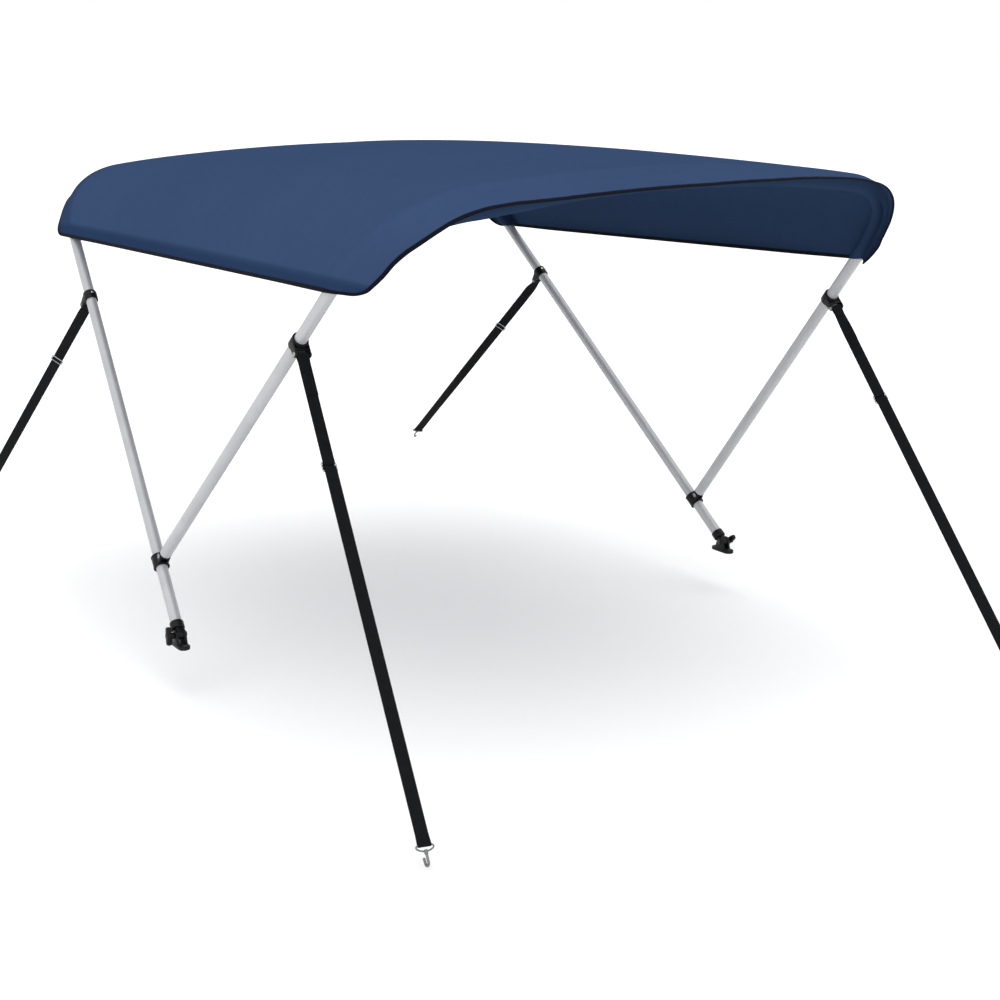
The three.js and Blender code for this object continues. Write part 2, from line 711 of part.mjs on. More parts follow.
function webbingPath(sliderAt, eyeAt, boltRadius, eyeRadius) {
  const pitch = WEB.thickness + WEB.gap;
  const lean = WEB.thickness / 2 + WEB.gap + 0.1;
  const back = -pitch;
  const bar = SLIDER.wire + lean;
  const over = bar + pitch;
  const level = bar;
  const slope = Math.asin((bar + over) / SLIDER.half);
  const up = Math.PI / 2;
  const at = (x, y) => new THREE.Vector2(x, y);
  return [
    at(SEWN_BACK, back),
    at(18, back),
    ...arc(at(0, back / 2), boltRadius + lean, -up * 0.93, -2 * up - up * 0.93, 10),
    at(18, 0),
    at(sliderAt - SLIDER.half - 6, 0),
    ...arc(at(sliderAt - SLIDER.half, level), bar, -up, -up + slope, 3),
    ...arc(at(sliderAt, level), over, up + slope, up - slope, 6),
    ...arc(at(sliderAt + SLIDER.half, level), bar, -up - slope, -up, 3),
    at(sliderAt + SLIDER.half + 8, 0),
    at(eyeAt - 18, 0),
    ...arc(at(eyeAt, back / 2), eyeRadius + lean, up * 0.93, -up * 0.93, 10),
    at(eyeAt - 18, back),
    at(sliderAt + SLIDER.half + 8, back),
    at(sliderAt + SLIDER.half, back),
    ...arc(at(sliderAt, level), bar, -up, -up - 2 * up, 7),
  ];
}

function ribbon(path) {
  const half = WEB.thickness / 2;
  const sides = [[], []];
  path.forEach((p, i) => {
    const before = path[Math.max(i - 1, 0)];
    const after = path[Math.min(i + 1, path.length - 1)];
    const first = p.clone().sub(before);
    const second = after.clone().sub(p);
    if (i === 0) first.copy(second);
    if (i === path.length - 1) second.copy(first);
    const run = first.normalize().add(second.normalize()).normalize();
    const reach = half / Math.max(first.dot(run), 0.7);
    const side = new THREE.Vector2(-run.y, run.x);
    sides[0].push(p.clone().addScaledVector(side, reach));
    sides[1].push(p.clone().addScaledVector(side, -reach));
  });
  const shape = new THREE.Shape([...sides[0], ...sides[1].reverse()]);
  const made = new THREE.ExtrudeGeometry(shape, { depth: WEB.width, bevelEnabled: false, steps: 1 });
  made.translate(0, 0, -WEB.width / 2);
  return made;
}

// Round wire along a line of points, closed into a loop or with flat ends
function wireRun(points, radius, closed, sides = 8) {
  const count = points.length;
  const rings = points.map((p, i) => {
    const before = closed ? points[(i + count - 1) % count] : points[Math.max(i - 1, 0)];
    const after = closed ? points[(i + 1) % count] : points[Math.min(i + 1, count - 1)];
    const run = after.clone().sub(before).normalize();
    const face = WIRE_FACES.find((f) => Math.abs(f.dot(run)) < 0.2).clone();
    const n = along(face, run, -face.dot(run)).normalize();
    const b = run.clone().cross(n);
    return Array.from({ length: sides }, (_, k) => {
      const turn = (2 * Math.PI * (k + 0.5)) / sides;
      return along(along(p, n, radius * Math.cos(turn)), b, radius * Math.sin(turn));
    });
  });
  return closed ? loopLoft(rings) : loft(rings);
}

// Every wire lies in the plane across the strap or in the plane down its middle
const WIRE_FACES = [vec(0, 1, 0), vec(0, 0, 1)];

// Wire slider: a rectangle with a middle bar. Own frame: x down the strap, z across it.
function sliderSolid(level) {
  const half = WEB.width / 2 + 2.2;
  const cut = 1.5;
  const low = -SLIDER.half;
  const high = SLIDER.half;
  const corner = (x, z) => vec(x, level, z);
  const frame = [
    corner(low, -half + cut),
    corner(low, half - cut),
    corner(low + cut, half),
    corner(high - cut, half),
    corner(high, half - cut),
    corner(high, -half + cut),
    corner(high - cut, -half),
    corner(low + cut, -half),
  ];
  const bar = [corner(0, -half), corner(0, half)];
  return joined([wireRun(frame, SLIDER.wire, true, 6), wireRun(bar, SLIDER.wire, false, 6)]);
}

// Hook: an oval wire eye across the webbing's end and a hooked prong square to it
function hookSolid(level) {
  const half = WEB.width / 2 + 2;
  const eye = [
    vec(0, level, -half),
    vec(0, level, half),
    vec(2, level, half + 2.4),
    vec(5, level, half + 2.4),
    vec(8.5, level, half - 3),
    vec(10.5, level, 3),
    vec(10.5, level, -3),
    vec(8.5, level, -half + 3),
    vec(5, level, -half - 2.4),
    vec(2, level, -half - 2.4),
  ];
  const bend = 7;
  const turnAt = 30;
  const prong = [vec(9.5, level, 0), vec(turnAt, level, 0)];
  for (let i = 1; i <= 5; i++) {
    const turn = (Math.PI * i) / 5;
    prong.push(vec(turnAt + bend * Math.sin(turn), level + bend - bend * Math.cos(turn), 0));
  }
  prong.push(vec(turnAt - 9, level + 2 * bend + 1, 0));
  return joined([wireRun(eye, HOOK_WIRE, true), wireRun(prong, 2.5, false)]);
}

function strapClamp(tube, pull) {
  const out = along(pull, tube, -pull.dot(tube)).normalize();
  const cross = out.clone().cross(tube);
  const outline = eyeOutline(new THREE.Vector2(CLAMP.reach, 0), CLAMP.eye, CLAMP.eye + 1.5, 5);
  const { earInner, ear, half } = CLAMP;
  const body = [
    rodZ(CLAMP.outer, -half, half),
    slabX(outline, earInner, earInner + ear),
    slabX(outline, -earInner - ear, -earInner),
  ];
  const clamp = joined(body, [
    rodZ(boreRadius(TUBE_RADIUS, 20), -half - 2, half + 2),
    rodX(boreRadius(CLAMP.bolt, BORE_SIDES), -earInner - ear - 1, earInner + ear + 1, CLAMP.reach, 0),
  ]);
  const head = earInner + ear + FIT;
  const bolt = joined([
    rodX(CLAMP.bolt, -head - 1, head + 1, CLAMP.reach, 0),
    rodX(CLAMP.head, -head - CLAMP.headThick, -head, CLAMP.reach, 0),
    rodX(CLAMP.head, head, head + CLAMP.headThick, CLAMP.reach, 0),
  ]);
  return { clamp, bolt, out, cross };
}

function buildStraps() {
  for (const place of Object.keys(CLAMP_HEIGHT)) {
    const front = place.startsWith("front");
    const side = place.endsWith("left") ? -1 : 1;
    const height = CLAMP_HEIGHT[place];
    const leg = secondLeg(side);
    const rear = legPoint(side, height);
    const rise = height - JAW_HEIGHT[sideName(side)];
    const centre = front ? along(leg.joint, leg.direction, rise / leg.direction.z) : rear;
    const tube = front ? leg.direction : legPoint(side, 1).sub(legPoint(side, 0)).normalize();
    const [endX, endY, endZ] = STRAP_END[front ? "front" : "rear"];
    const hook = vec(side * endX, endY, PIVOT_HEIGHT + endZ);
    const firstPull = hook.clone().sub(centre).normalize();
    const first = strapClamp(tube, firstPull);
    const boltAt = along(centre, first.out, CLAMP.reach);
    const pull = hook.clone().sub(boltAt).normalize();
    const frame = basis(centre, first.cross, first.out, tube);
    add("strap_clamp_" + place, first.clamp.applyMatrix4(frame), NYLON);
    add("clamp_bolt_" + place, first.bolt.applyMatrix4(frame), STEEL);
    const length = hook.distanceTo(boltAt);
    const inner = first.cross.clone().cross(pull).normalize();
    const across = pull.clone().cross(inner).normalize();
    if (inner.y * (front ? 1 : -1) < 0) {
      inner.negate();
      across.negate();
    }
    const pitch = WEB.thickness + WEB.gap;
    const origin = along(boltAt, inner, pitch / 2);
    const strapFrame = basis(origin, pull, inner, across);
    const sliderAt = SLIDER_AT[front ? "front" : "rear"];
    const path = webbingPath(sliderAt, length, CLAMP.bolt, HOOK_WIRE);
    add("strap_" + place, ribbon(path).applyMatrix4(strapFrame), WEBBING);
    const level = SLIDER.wire + WEB.thickness / 2 + WEB.gap + 0.1;
    const slider = sliderSolid(level).translate(sliderAt, 0, 0);
    add("strap_slider_" + place, slider.applyMatrix4(strapFrame), WIRE);
    const strapHook = hookSolid(-pitch / 2).translate(length, 0, 0);
    add("strap_hook_" + place, strapHook.applyMatrix4(strapFrame), WIRE);
  }
}

function buildFrame() {
  const legStart = (side) => {
    const direction = legPoint(side, 1).sub(legPoint(side, 0)).normalize();
    return along(legPoint(side, 0), direction, LEG_CUP.floor + FIT);
  };
  const secondStart = (side) => {
    const leg = secondLeg(side);
    return along(leg.joint, leg.direction, JAW.reach + BOW_END.floor + FIT);
  };
  add("main_bow", bowTube(bows.main, legStart(-1), legStart(1)), ALUMINIUM);
  add("second_bow", bowTube(bows.second, secondStart(-1), secondStart(1)), ALUMINIUM);
}

function buildCloth() {
  const cloth = clothGrid(TAPE_WIDTH + TAPE_GAP, CORNER_RADIUS.cloth);
  const inner = clothGrid(TAPE_WIDTH, CORNER_RADIUS.cloth);
  const outer = clothGrid(0, CORNER_RADIUS.tape);
  add("canopy", sheetSolid(cloth, gridNormals(cloth), CLOTH), CANVAS);
  add("edge_binding", bindingSolid(outer, gridNormals(outer), inner, gridNormals(inner)), TAPE_BLACK);
  add("rear_sleeve", sleeveSolid(bows.main, bows.second), CANVAS);
  add("front_sleeve", sleeveSolid(bows.second, bows.main), CANVAS);
}

buildCloth();
buildFrame();
buildHinges();
buildJaws();
buildStraps();

export default part;
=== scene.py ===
"""A bimini top in its open position: cloth canopy, two bent tube bows, deck hinges and four webbing straps."""
import math

import bmesh
import bpy
from mathutils import Matrix, Vector, noise


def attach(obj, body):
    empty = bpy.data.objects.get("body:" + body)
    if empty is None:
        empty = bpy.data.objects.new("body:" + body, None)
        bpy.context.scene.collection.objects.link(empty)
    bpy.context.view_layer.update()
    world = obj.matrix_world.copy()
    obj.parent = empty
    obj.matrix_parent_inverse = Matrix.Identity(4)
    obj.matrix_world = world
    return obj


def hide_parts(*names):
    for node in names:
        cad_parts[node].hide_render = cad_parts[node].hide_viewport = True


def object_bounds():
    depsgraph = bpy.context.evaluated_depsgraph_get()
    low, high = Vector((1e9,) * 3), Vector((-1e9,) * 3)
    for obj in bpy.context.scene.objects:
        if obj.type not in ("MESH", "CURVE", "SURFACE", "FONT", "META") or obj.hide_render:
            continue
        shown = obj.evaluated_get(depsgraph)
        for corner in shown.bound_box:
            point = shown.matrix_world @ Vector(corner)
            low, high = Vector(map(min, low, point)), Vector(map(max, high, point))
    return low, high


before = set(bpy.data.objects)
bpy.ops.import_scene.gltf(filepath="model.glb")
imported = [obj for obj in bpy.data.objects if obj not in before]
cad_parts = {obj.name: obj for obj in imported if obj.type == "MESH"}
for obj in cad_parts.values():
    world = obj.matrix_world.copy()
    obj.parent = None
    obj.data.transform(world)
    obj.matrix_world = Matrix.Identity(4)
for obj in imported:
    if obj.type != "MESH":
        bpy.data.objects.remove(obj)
cad_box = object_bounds()
MM = 0.001  # shapes are worked out in millimetres, and made metres when a piece is finished
FULL_TURN = 2 * math.pi

# The frame's lines, as the solids have them
HINGE_HALF_SPACING = 735.0
PIVOT_HEIGHT = 26.0
LEG_LEAN = 0.143
MAIN_RAKE = 1.1539
JAW_HEIGHT = {"left": 123.3, "right": 90.6}
TUBE_RADIUS = 12.7
LOW_BEND_RADIUS, LOW_BEND_TURN = 351.7, 0.3055
BEND_STRAIGHT = 25.4
HIGH_BEND_RADIUS = 217.1
SIDES = {"left": -1, "right": 1}

# Cloth past each bow: its length and its turn down, at distances along the bow from each hem
MAIN = {
    "half": 626.2,
    "y": 877.6,
    "z": 760.6,
    "lean": 0.0934,
    "top_turn": 1.3737,
    "rake": MAIN_RAKE,
    "drop": {"left": -8, "right": 25},
    "corner": {"left": 33, "right": 33},
    "outward": 1,
    "flap_length": {
        "left": [(0, 102), (333, 70), (774, 64)],
        "right": [(0, 54), (60, 60), (140, 72), (333, 72), (774, 64)],
    },
    "flap_turn": {
        "left": [(0, 0), (60, 0.13), (110, 0.22), (170, 0.32), (240, 0.56), (333, 0.85), (774, 0.756)],
        "right": [(0, 0.45), (333, 0.6), (774, 0.756)],
    },
    "slack": {"left": [(0, 0), (200, 2), (774, 3)], "right": [(0, 0), (200, 2), (774, 3)]},
}
SECOND = {
    "half": 631.3,
    "y": -548.6,
    "z": 772.6,
    "lean": 0.0927,
    "top_turn": 1.3852,
    "rake": -1.0096,
    "drop": {"left": 2, "right": 13},
    "corner": {"left": 24, "right": 36},
    "outward": -1,
    "flap_length": {
        "left": [(0, 60), (60, 67), (150, 71), (335, 75), (779, 78)],
        "right": [(0, 72), (100, 72), (150, 67), (190, 63), (240, 66), (335, 72), (779, 78)],
    },
    "flap_turn": {
        "left": [
            (0, 0.88), (60, 0.80), (100, 0.715), (140, 0.67), (180, 0.66), (220, 0.60), (260, 0.515),
            (300, 0.47), (340, 0.445), (380, 0.445), (420, 0.47), (470, 0.49), (600, 0.485), (779, 0.45),
        ],
        "right": [
            (0, 0.80), (60, 0.78), (100, 0.81), (140, 0.85), (180, 0.76), (220, 0.60), (260, 0.41),
            (300, 0.275), (340, 0.215), (400, 0.19), (460, 0.225), (540, 0.28), (620, 0.355), (779, 0.45),
        ],
    },
    "slack": {
        "left": [(0, 0), (140, 5), (210, 18), (280, 28), (400, 28), (560, 20), (779, 14)],
        "right": [(0, 0), (160, 3), (400, 6), (779, 14)],
    },
}
CLOTH_RADIUS = 15.5
BULGE = 32.0

# Sleeves
SLEEVE_SEAM = 19.0
SLEEVE_MARGIN = 7.0
SLEEVE_DEPTH = 2.5
SLEEVE_RADIUS = 15.3
SLEEVE_FROM_HEM = 8.0

# Webbing and its fittings
WEB_WIDTH, WEB_THICK, WEB_GAP = 25.0, 1.3, 0.35
SEWN_BACK = 85.0
SLIDER_AT = {"front": 230.0, "rear": 270.0}
SLIDER_WIRE, SLIDER_HALF = 1.3, 8.5
HOOK_WIRE = 1.5
CLAMP_HEIGHT = {"front_left": 669.2, "front_right": 673.8, "rear_left": 635.8, "rear_right": 625.5}
STRAP_END = {"front": (714, -1019, -86), "rear": (700, 1537, 37)}
STRAP_TWIST = {"front_left": (0.0, 0.0), "front_right": (0.35, 0.45), "rear_left": (0.66, 0.4), "rear_right": (0.9, 0.4)}
CLAMP_REACH = 27.0
CLAMP_BOLT = 2.4

# Hinges and jaws
TONGUE_HALF = 5.8
EAR_INNER, EAR_FACE = 6.4, 11.9
FIT = 0.35
JAW_REACH = 25.2
LEG_CUP_FLOOR = 18.0
BOW_END_FLOOR = 12.0


# Small geometry

def unit(x, y, z):
    return Vector((x, y, z)).normalized()


def basis(origin, x, y, z):
    """Matrix that puts a fitting's own frame at a place, with its three axes"""
    made = Matrix((x, y, z)).transposed().to_4x4()
    made.translation = origin
    return made


def smooth_step(low, high, value):
    share = min(max((value - low) / (high - low), 0.0), 1.0)
    return share * share * (3 - 2 * share)


def smooth_table(table, value):
    """A value read from (place, value) pairs on one smooth curve"""
    last = len(table) - 1
    if value <= table[0][0]:
        return table[0][1]
    if value >= table[last][0]:
        return table[last][1]
    k = max(i for i, (place, _) in enumerate(table) if place <= value)
    (low, start), (high, end) = table[k], table[k + 1]
    slopes = []
    for at in (k, k + 1):
        before, after = table[max(at - 1, 0)], table[min(at + 1, last)]
        slopes.append((after[1] - before[1]) / (after[0] - before[0]))
    width = high - low
    t = (value - low) / width
    return (
        start * (2 * t ** 3 - 3 * t ** 2 + 1) + end * (3 * t ** 2 - 2 * t ** 3)
        + slopes[0] * width * (t ** 3 - 2 * t ** 2 + t) + slopes[1] * width * (t ** 3 - t ** 2)
    )


# Lines of the frame

def leg_point(side, height):
    x = side * (HINGE_HALF_SPACING - LEG_LEAN * height)
    return Vector((x, MAIN_RAKE * height, PIVOT_HEIGHT + height))


def leg_direction(side):
    return (leg_point(side, 1) - leg_point(side, 0)).normalized()


def half_bow(bow, distance):
    """Half width, way up the bow's slope and outward turn, at a distance above the hem"""
    x, up, turn, left = bow["half"], 0.0, bow["lean"], distance
    if distance <= 0:
        return x - math.sin(turn) * distance, math.cos(turn) * distance, turn

    def bend(radius, target):
        nonlocal x, up, turn, left
        used = min(left, radius * (target - turn))
        after = turn + used / radius
        x += radius * (math.cos(after) - math.cos(turn))
        up += radius * (math.sin(after) - math.sin(turn))
        turn = after
        left -= used

    bend(LOW_BEND_RADIUS, LOW_BEND_TURN)
    run = min(left, BEND_STRAIGHT)
    x -= math.sin(turn) * run
    up += math.cos(turn) * run
    left -= run
    if left > 0:
        bend(HIGH_BEND_RADIUS, bow["top_turn"])
    if left > 0:
        bend(x / math.cos(turn), math.pi / 2)
    return x, up, turn


def bow_half_length(bow):
    low = LOW_BEND_RADIUS * (LOW_BEND_TURN - bow["lean"])
    high = HIGH_BEND_RADIUS * (bow["top_turn"] - LOW_BEND_TURN)
    bends = low + BEND_STRAIGHT + high
    x, _, turn = half_bow(bow, bends)
    return bends + x / math.cos(turn) * (math.pi / 2 - turn)


for bow in (MAIN, SECOND):
    bow["whole"] = bow_half_length(bow)


class Station:
    """One place on a bow: centre, in-plane outward normal, and tangent towards the right hem"""

    def __init__(self, bow, side, distance):
        x, up, turn = half_bow(bow, distance)
        rise = unit(0, bow["rake"], 1)
        self.bow, self.side, self.distance = bow, side, distance
        self.above = distance + bow["drop"]["left" if side < 0 else "right"]
        self.centre = Vector((side * x, bow["y"], PIVOT_HEIGHT + bow["z"])) + rise * up
        self.normal = Vector((side * math.cos(turn), 0, 0)) + rise * math.sin(turn)
        self.tangent = Vector((math.sin(turn), 0, 0)) - rise * side * math.cos(turn)
        n = self.tangent.cross(Vector((0, 1, 0))).normalized()
        self.cloth_normal = -n if n.dot(self.normal) < 0 else n

    def flap(self, key):
        return smooth_table(self.bow[key]["left" if self.side < 0 else "right"], self.distance)


# Building pieces

def lift_to_metres(bm):
    bmesh.ops.scale(bm, vec=(MM, MM, MM), verts=bm.verts)


def piece(name, bm, finish, stands_for=(), turn_out=True, smooth=True):
    """A finished mesh that rides on the frame and may stand for a solid"""
    if turn_out:
        bmesh.ops.recalc_face_normals(bm, faces=bm.faces)
    lift_to_metres(bm)
    mesh = bpy.data.meshes.new(name)
    bm.to_mesh(mesh)
    bm.free()
    made = bpy.data.objects.new(name, mesh)
    bpy.context.scene.collection.objects.link(made)
    for one in finish if isinstance(finish, (list, tuple)) else [finish]:
        mesh.materials.append(one)
    if smooth:
        mesh.shade_smooth()
        mesh.set_sharp_from_angle(angle=math.radians(38))
    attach(made, "root")
    if stands_for:
        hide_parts(*stands_for)
    return made


def sweep(bm, outline, places, closed=False, capped=True):
    """Extrudes an outline of (x, y) points through a list of matrices, with its girth and run as UVs"""
    along_layer = bm.verts.layers.float.get("along") or bm.verts.layers.float.new("along")
    girth_layer = bm.verts.layers.float.get("girth") or bm.verts.layers.float.new("girth")
    ring = [bm.verts.new(places[0] @ Vector((x, y, 0))) for x, y in outline]
    edges = [bm.edges.new((ring[i], ring[(i + 1) % len(ring)])) for i in range(len(ring))]
    girth = 0.0
    for i, vert in enumerate(ring):
        vert[girth_layer] = girth
        girth += (Vector(outline[(i + 1) % len(outline)]) - Vector(outline[i])).length
    if capped and not closed:
        bm.faces.new(ring)
    run = 0.0
    before = places[0]
    faces = []
    for place in places[1:]:
        run += (place.translation - before.translation).length
        made = bmesh.ops.extrude_edge_only(bm, edges=edges)["geom"]
        verts = [g for g in made if isinstance(g, bmesh.types.BMVert)]
        fresh = set(verts)
        edges = [g for g in made if isinstance(g, bmesh.types.BMEdge) and all(v in fresh for v in g.verts)]
        faces += [g for g in made if isinstance(g, bmesh.types.BMFace)]
        bmesh.ops.transform(bm, matrix=place @ before.inverted(), verts=verts)
        for vert in verts:
            vert[along_layer] = run
        before = place
    if closed:
        bmesh.ops.remove_doubles(bm, verts=[*ring, *verts], dist=0.01)
    elif capped:
        bmesh.ops.contextual_create(bm, geom=edges)
    uv_layer = bm.loops.layers.uv.verify()
    for face in faces:
        if not face.is_valid:
            continue
        values = [loop.vert[girth_layer] for loop in face.loops]
        wraps = max(values) - min(values) > girth / 2
        for loop, value in zip(face.loops, values):
            if wraps and value < girth / 2:
                value += girth
            loop[uv_layer].uv = (value * MM, loop.vert[along_layer] * MM)
    return bm


def circle_outline(radius, sides):
    return [(radius * math.cos(FULL_TURN * i / sides), radius * math.sin(FULL_TURN * i / sides)) for i in range(sides)]


def turned(bm, profile, place=Matrix.Identity(4), sides=32):
    """Spins a closed profile of (radius, height) points round the height axis"""
    shape = bmesh.new()
    verts = [shape.verts.new(Vector((r, 0, z))) for r, z in profile]
    edges = []
    for i, (r, _) in enumerate(profile):
        after = (i + 1) % len(profile)
        if r or profile[after][0]:
            edges.append(shape.edges.new((verts[i], verts[after])))
    bmesh.ops.spin(
        shape, geom=[*verts, *edges], cent=(0, 0, 0), axis=(0, 0, 1), dvec=(0, 0, 0),
        angle=FULL_TURN, steps=sides, use_merge=True, use_normal_flip=False, use_duplicate=False,
    )
    bmesh.ops.remove_doubles(shape, verts=shape.verts, dist=0.002)
    add_shape(bm, shape, place)


def add_shape(bm, shape, place):
    """Puts a finished shape at its place in the piece that is being built"""
    bmesh.ops.recalc_face_normals(shape, faces=shape.faces)
    bmesh.ops.transform(shape, matrix=place, verts=shape.verts)
    mesh = bpy.data.meshes.new("shape")
    shape.to_mesh(mesh)
    shape.free()
    bm.from_mesh(mesh)
    bpy.data.meshes.remove(mesh)


def barrel(bm, radius, low, high, place, round_off=0.8, sides=32):
    """A solid round with softened ends"""
    r = min(round_off, radius * 0.6, (high - low) * 0.45)
    profile = [(0, low), (radius - r, low), (radius - 0.3 * r, low + 0.3 * r), (radius, low + r)]
    profile += [(radius, high - r), (radius - 0.3 * r, high - 0.3 * r), (radius - r, high), (0, high)]
    turned(bm, profile, place, sides)


def collar(bm, inner, outer, low, high, place, lip=0.9, sides=40):
    """A round wall with softened lips"""
    profile = [(inner, low + lip * 0.5), (inner + lip * 0.5, low), (outer - lip, low), (outer - 0.3 * lip, low + 0.3 * lip)]
    profile += [(outer, low + lip), (outer, high - lip), (outer - 0.3 * lip, high - 0.3 * lip), (outer - lip, high)]
    profile += [(inner + lip * 0.5, high), (inner, high - lip * 0.5)]
    turned(bm, profile, place, sides)


def slab(bm, outline, low, high, place, round_off=0.8, segments=2):
    """A flat outline of (x, y) points raised between two heights, its edges softened"""
    shape = bmesh.new()
    verts = [shape.verts.new(Vector((x, y, low))) for x, y in outline]
    face = shape.faces.new(verts)
    raised = bmesh.ops.extrude_face_region(shape, geom=[face])["geom"]
    top = [g for g in raised if isinstance(g, bmesh.types.BMVert)]
    bmesh.ops.translate(shape, vec=(0, 0, high - low), verts=top)
    bmesh.ops.recalc_face_normals(shape, faces=shape.faces)
    edges = [e for e in shape.edges if rim_edge(e)]
    bmesh.ops.bevel(
        shape, geom=edges, offset=round_off, offset_type="OFFSET", segments=segments, profile=0.5,
        affect="EDGES", material=-1, clamp_overlap=True,
    )
    add_shape(bm, shape, place)


def rim_edge(edge):
    """An edge between the flat and the wall of a slab"""
    if len(edge.link_faces) != 2:
        return False
    a, b = edge.link_faces
    return a.normal.angle(b.normal, 0) > math.radians(50)


def stadium_outline(length, width, steps=10):
    """Points of a rectangle with round ends, its length along y"""
    half = length / 2 - width / 2
    points = []
    for end in (1, -1):
        for i in range(steps + 1):
            turn = math.pi * i / steps + (0 if end > 0 else math.pi)
            points.append((width / 2 * math.cos(turn), end * half + width / 2 * math.sin(turn)))
    return points


def eye_outline(eye, radius, root_half, root_at, steps=12):
    """A round eye at a point, with sides that run back to a root"""
    reach = Vector(eye).length
    ahead = Vector(eye).normalized()
    across = Vector((-ahead.y, ahead.x))
    points = [ahead * root_at - across * root_half]
    for i in range(steps + 1):
        turn = -math.pi / 2 + math.pi * i / steps
        points.append(ahead * (reach + radius * math.cos(turn)) + across * (radius * math.sin(turn)))
    points.append(ahead * root_at + across * root_half)
    return [tuple(p) for p in points]


# A flat outline in y, z that is thick along x, and a round that lies along x
OUTLINE_TO_X = Matrix(((0, 0, 1, 0), (1, 0, 0, 0), (0, 1, 0, 0), (0, 0, 0, 1)))



# Finishes

def finish(name, colour, roughness, metallic=0.0, sheen=0.0, specular=0.5):
    """A material whose constant numbers sit on the shader's own sockets"""
    made = bpy.data.materials.new(name)
    made.use_nodes = True
    tree = made.node_tree
    shader = tree.nodes["Principled BSDF"]
    shader.inputs["Base Color"].default_value = (*colour, 1)
    shader.inputs["Roughness"].default_value = roughness
    shader.inputs["Metallic"].default_value = metallic
    shader.inputs["Specular IOR Level"].default_value = specular
    if sheen:
        shader.inputs["Sheen Weight"].default_value = sheen
        shader.inputs["Sheen Roughness"].default_value = 0.5
    return made, tree, shader


def node(tree, kind, settings=(), **inputs):
    made = tree.nodes.new(kind)
    for key, value in dict(settings).items():
        setattr(made, key, value)
    for key, value in inputs.items():
        socket = made.inputs[int(key[1:])] if key[0] == "i" and key[1:].isdigit() else made.inputs[key.replace("_", " ")]
        if isinstance(value, bpy.types.NodeSocket):
            tree.links.new(value, socket)
        else:
            socket.default_value = value
    return made


def surface_coordinates(tree, scale, kind="UV"):
    where = node(tree, "ShaderNodeTexCoord")
    return node(tree, "ShaderNodeMapping", Vector=where.outputs[kind], Scale=scale).outputs[0]


def math_node(tree, operation, first, second=0.0, clamp=False):
    return node(tree, "ShaderNodeMath", {"operation": operation, "use_clamp": clamp}, i0=first, i1=second).outputs[0]


def noise_value(tree, scale, size, detail=3.0, kind="Object"):
    where = surface_coordinates(tree, scale, kind)
    return node(tree, "ShaderNodeTexNoise", Vector=where, Scale=size, Detail=detail).outputs[0]


def ramp(tree, value, stops):
    made = node(tree, "ShaderNodeValToRGB", Fac=value)
    elements = made.color_ramp.elements
    while len(elements) < len(stops):
        elements.new(0.5)
    for element, (place, colour) in zip(elements, stops):
        element.position = place
        element.color = (*colour, 1)
    return made.outputs[0]


def shade(colour, share):
    return tuple(c * share for c in colour)


def bump(tree, shader, height, strength, distance):
    made = node(tree, "ShaderNodeBump", Height=height, Strength=strength, Distance=distance)
    tree.links.new(made.outputs[0], shader.inputs["Normal"])


def threads(tree, pitch_mm, kind="UV"):
    """Height of a plain weave: two sets of threads that pass over and under each other"""
    per_metre = 1000 / pitch_mm
    where = surface_coordinates(tree, (per_metre, per_metre, per_metre), kind)
    parts = node(tree, "ShaderNodeSeparateXYZ", Vector=where)
    x = math_node(tree, "MULTIPLY", parts.outputs[0], math.pi)
    y = math_node(tree, "MULTIPLY", parts.outputs[1], math.pi)
    warp = math_node(tree, "ABSOLUTE", math_node(tree, "SINE", x))
    weft = math_node(tree, "ABSOLUTE", math_node(tree, "SINE", y))
    over = math_node(tree, "GREATER_THAN", math_node(tree, "MULTIPLY", math_node(tree, "SINE", math_node(tree, "MULTIPLY", x, 0.5)), math_node(tree, "SINE", math_node(tree, "MULTIPLY", y, 0.5))), 0.0)
    return node(tree, "ShaderNodeMix", {"data_type": "FLOAT"}, i0=over, i2=warp, i3=weft).outputs[0]


def canvas_finish(name, colour, mottle, paints_hem_flap_shade=False):
    """Coated canvas: fine plain weave and cloudy shade changes"""
    made, tree, shader = finish(name, colour, 0.85, specular=0.0)
    weave = threads(tree, 1.05)
    broad = noise_value(tree, (1, 1, 1), 2.6, 4.0)
    fine = noise_value(tree, (1, 1, 1), 38.0, 5.0)
    cloud = math_node(tree, "ADD", math_node(tree, "MULTIPLY", broad, 0.65), math_node(tree, "MULTIPLY", fine, 0.35))
    base = ramp(tree, cloud, [(0.3, shade(colour, 1 - mottle)), (0.5, colour), (0.7, shade(colour, 1 + mottle))])
    # Painted shade between the threads and a slight painted highlight on their crowns
    thread_shade = node(tree, "ShaderNodeMapRange", Value=weave, **{"To_Min": 0.86, "To_Max": 1.07}).outputs[0]
    woven = node(tree, "ShaderNodeVectorMath", {"operation": "SCALE"}, i0=base, Scale=thread_shade).outputs[0]
    # Painted shade: this mask darkens the canvas along the side hem bands and over the rear pocket and flap, in place
    # of the shade that falls there
    if paints_hem_flap_shade:
        hem_flap_shade = node(tree, "ShaderNodeAttribute", {"attribute_name": "hem_flap_shade"}).outputs["Fac"]
        hem_flap_shade_tint = node(
            tree, "ShaderNodeMix", {"data_type": "RGBA"}, i0=hem_flap_shade, i6=(1, 1, 1, 1), i7=(0.52, 0.6, 0.66, 1),
        ).outputs[2]
        woven = node(tree, "ShaderNodeVectorMath", {"operation": "MULTIPLY"}, i0=woven, i1=hem_flap_shade_tint).outputs[0]
    tree.links.new(woven, shader.inputs["Base Color"])
    rough = node(tree, "ShaderNodeMapRange", Value=fine, **{"To_Min": 0.78, "To_Max": 0.95}).outputs[0]
    tree.links.new(rough, shader.inputs["Roughness"])
    height = math_node(tree, "ADD", math_node(tree, "MULTIPLY", weave, 0.35), math_node(tree, "MULTIPLY", fine, 0.9))
    bump(tree, shader, height, 0.35, 0.0006)
    return made


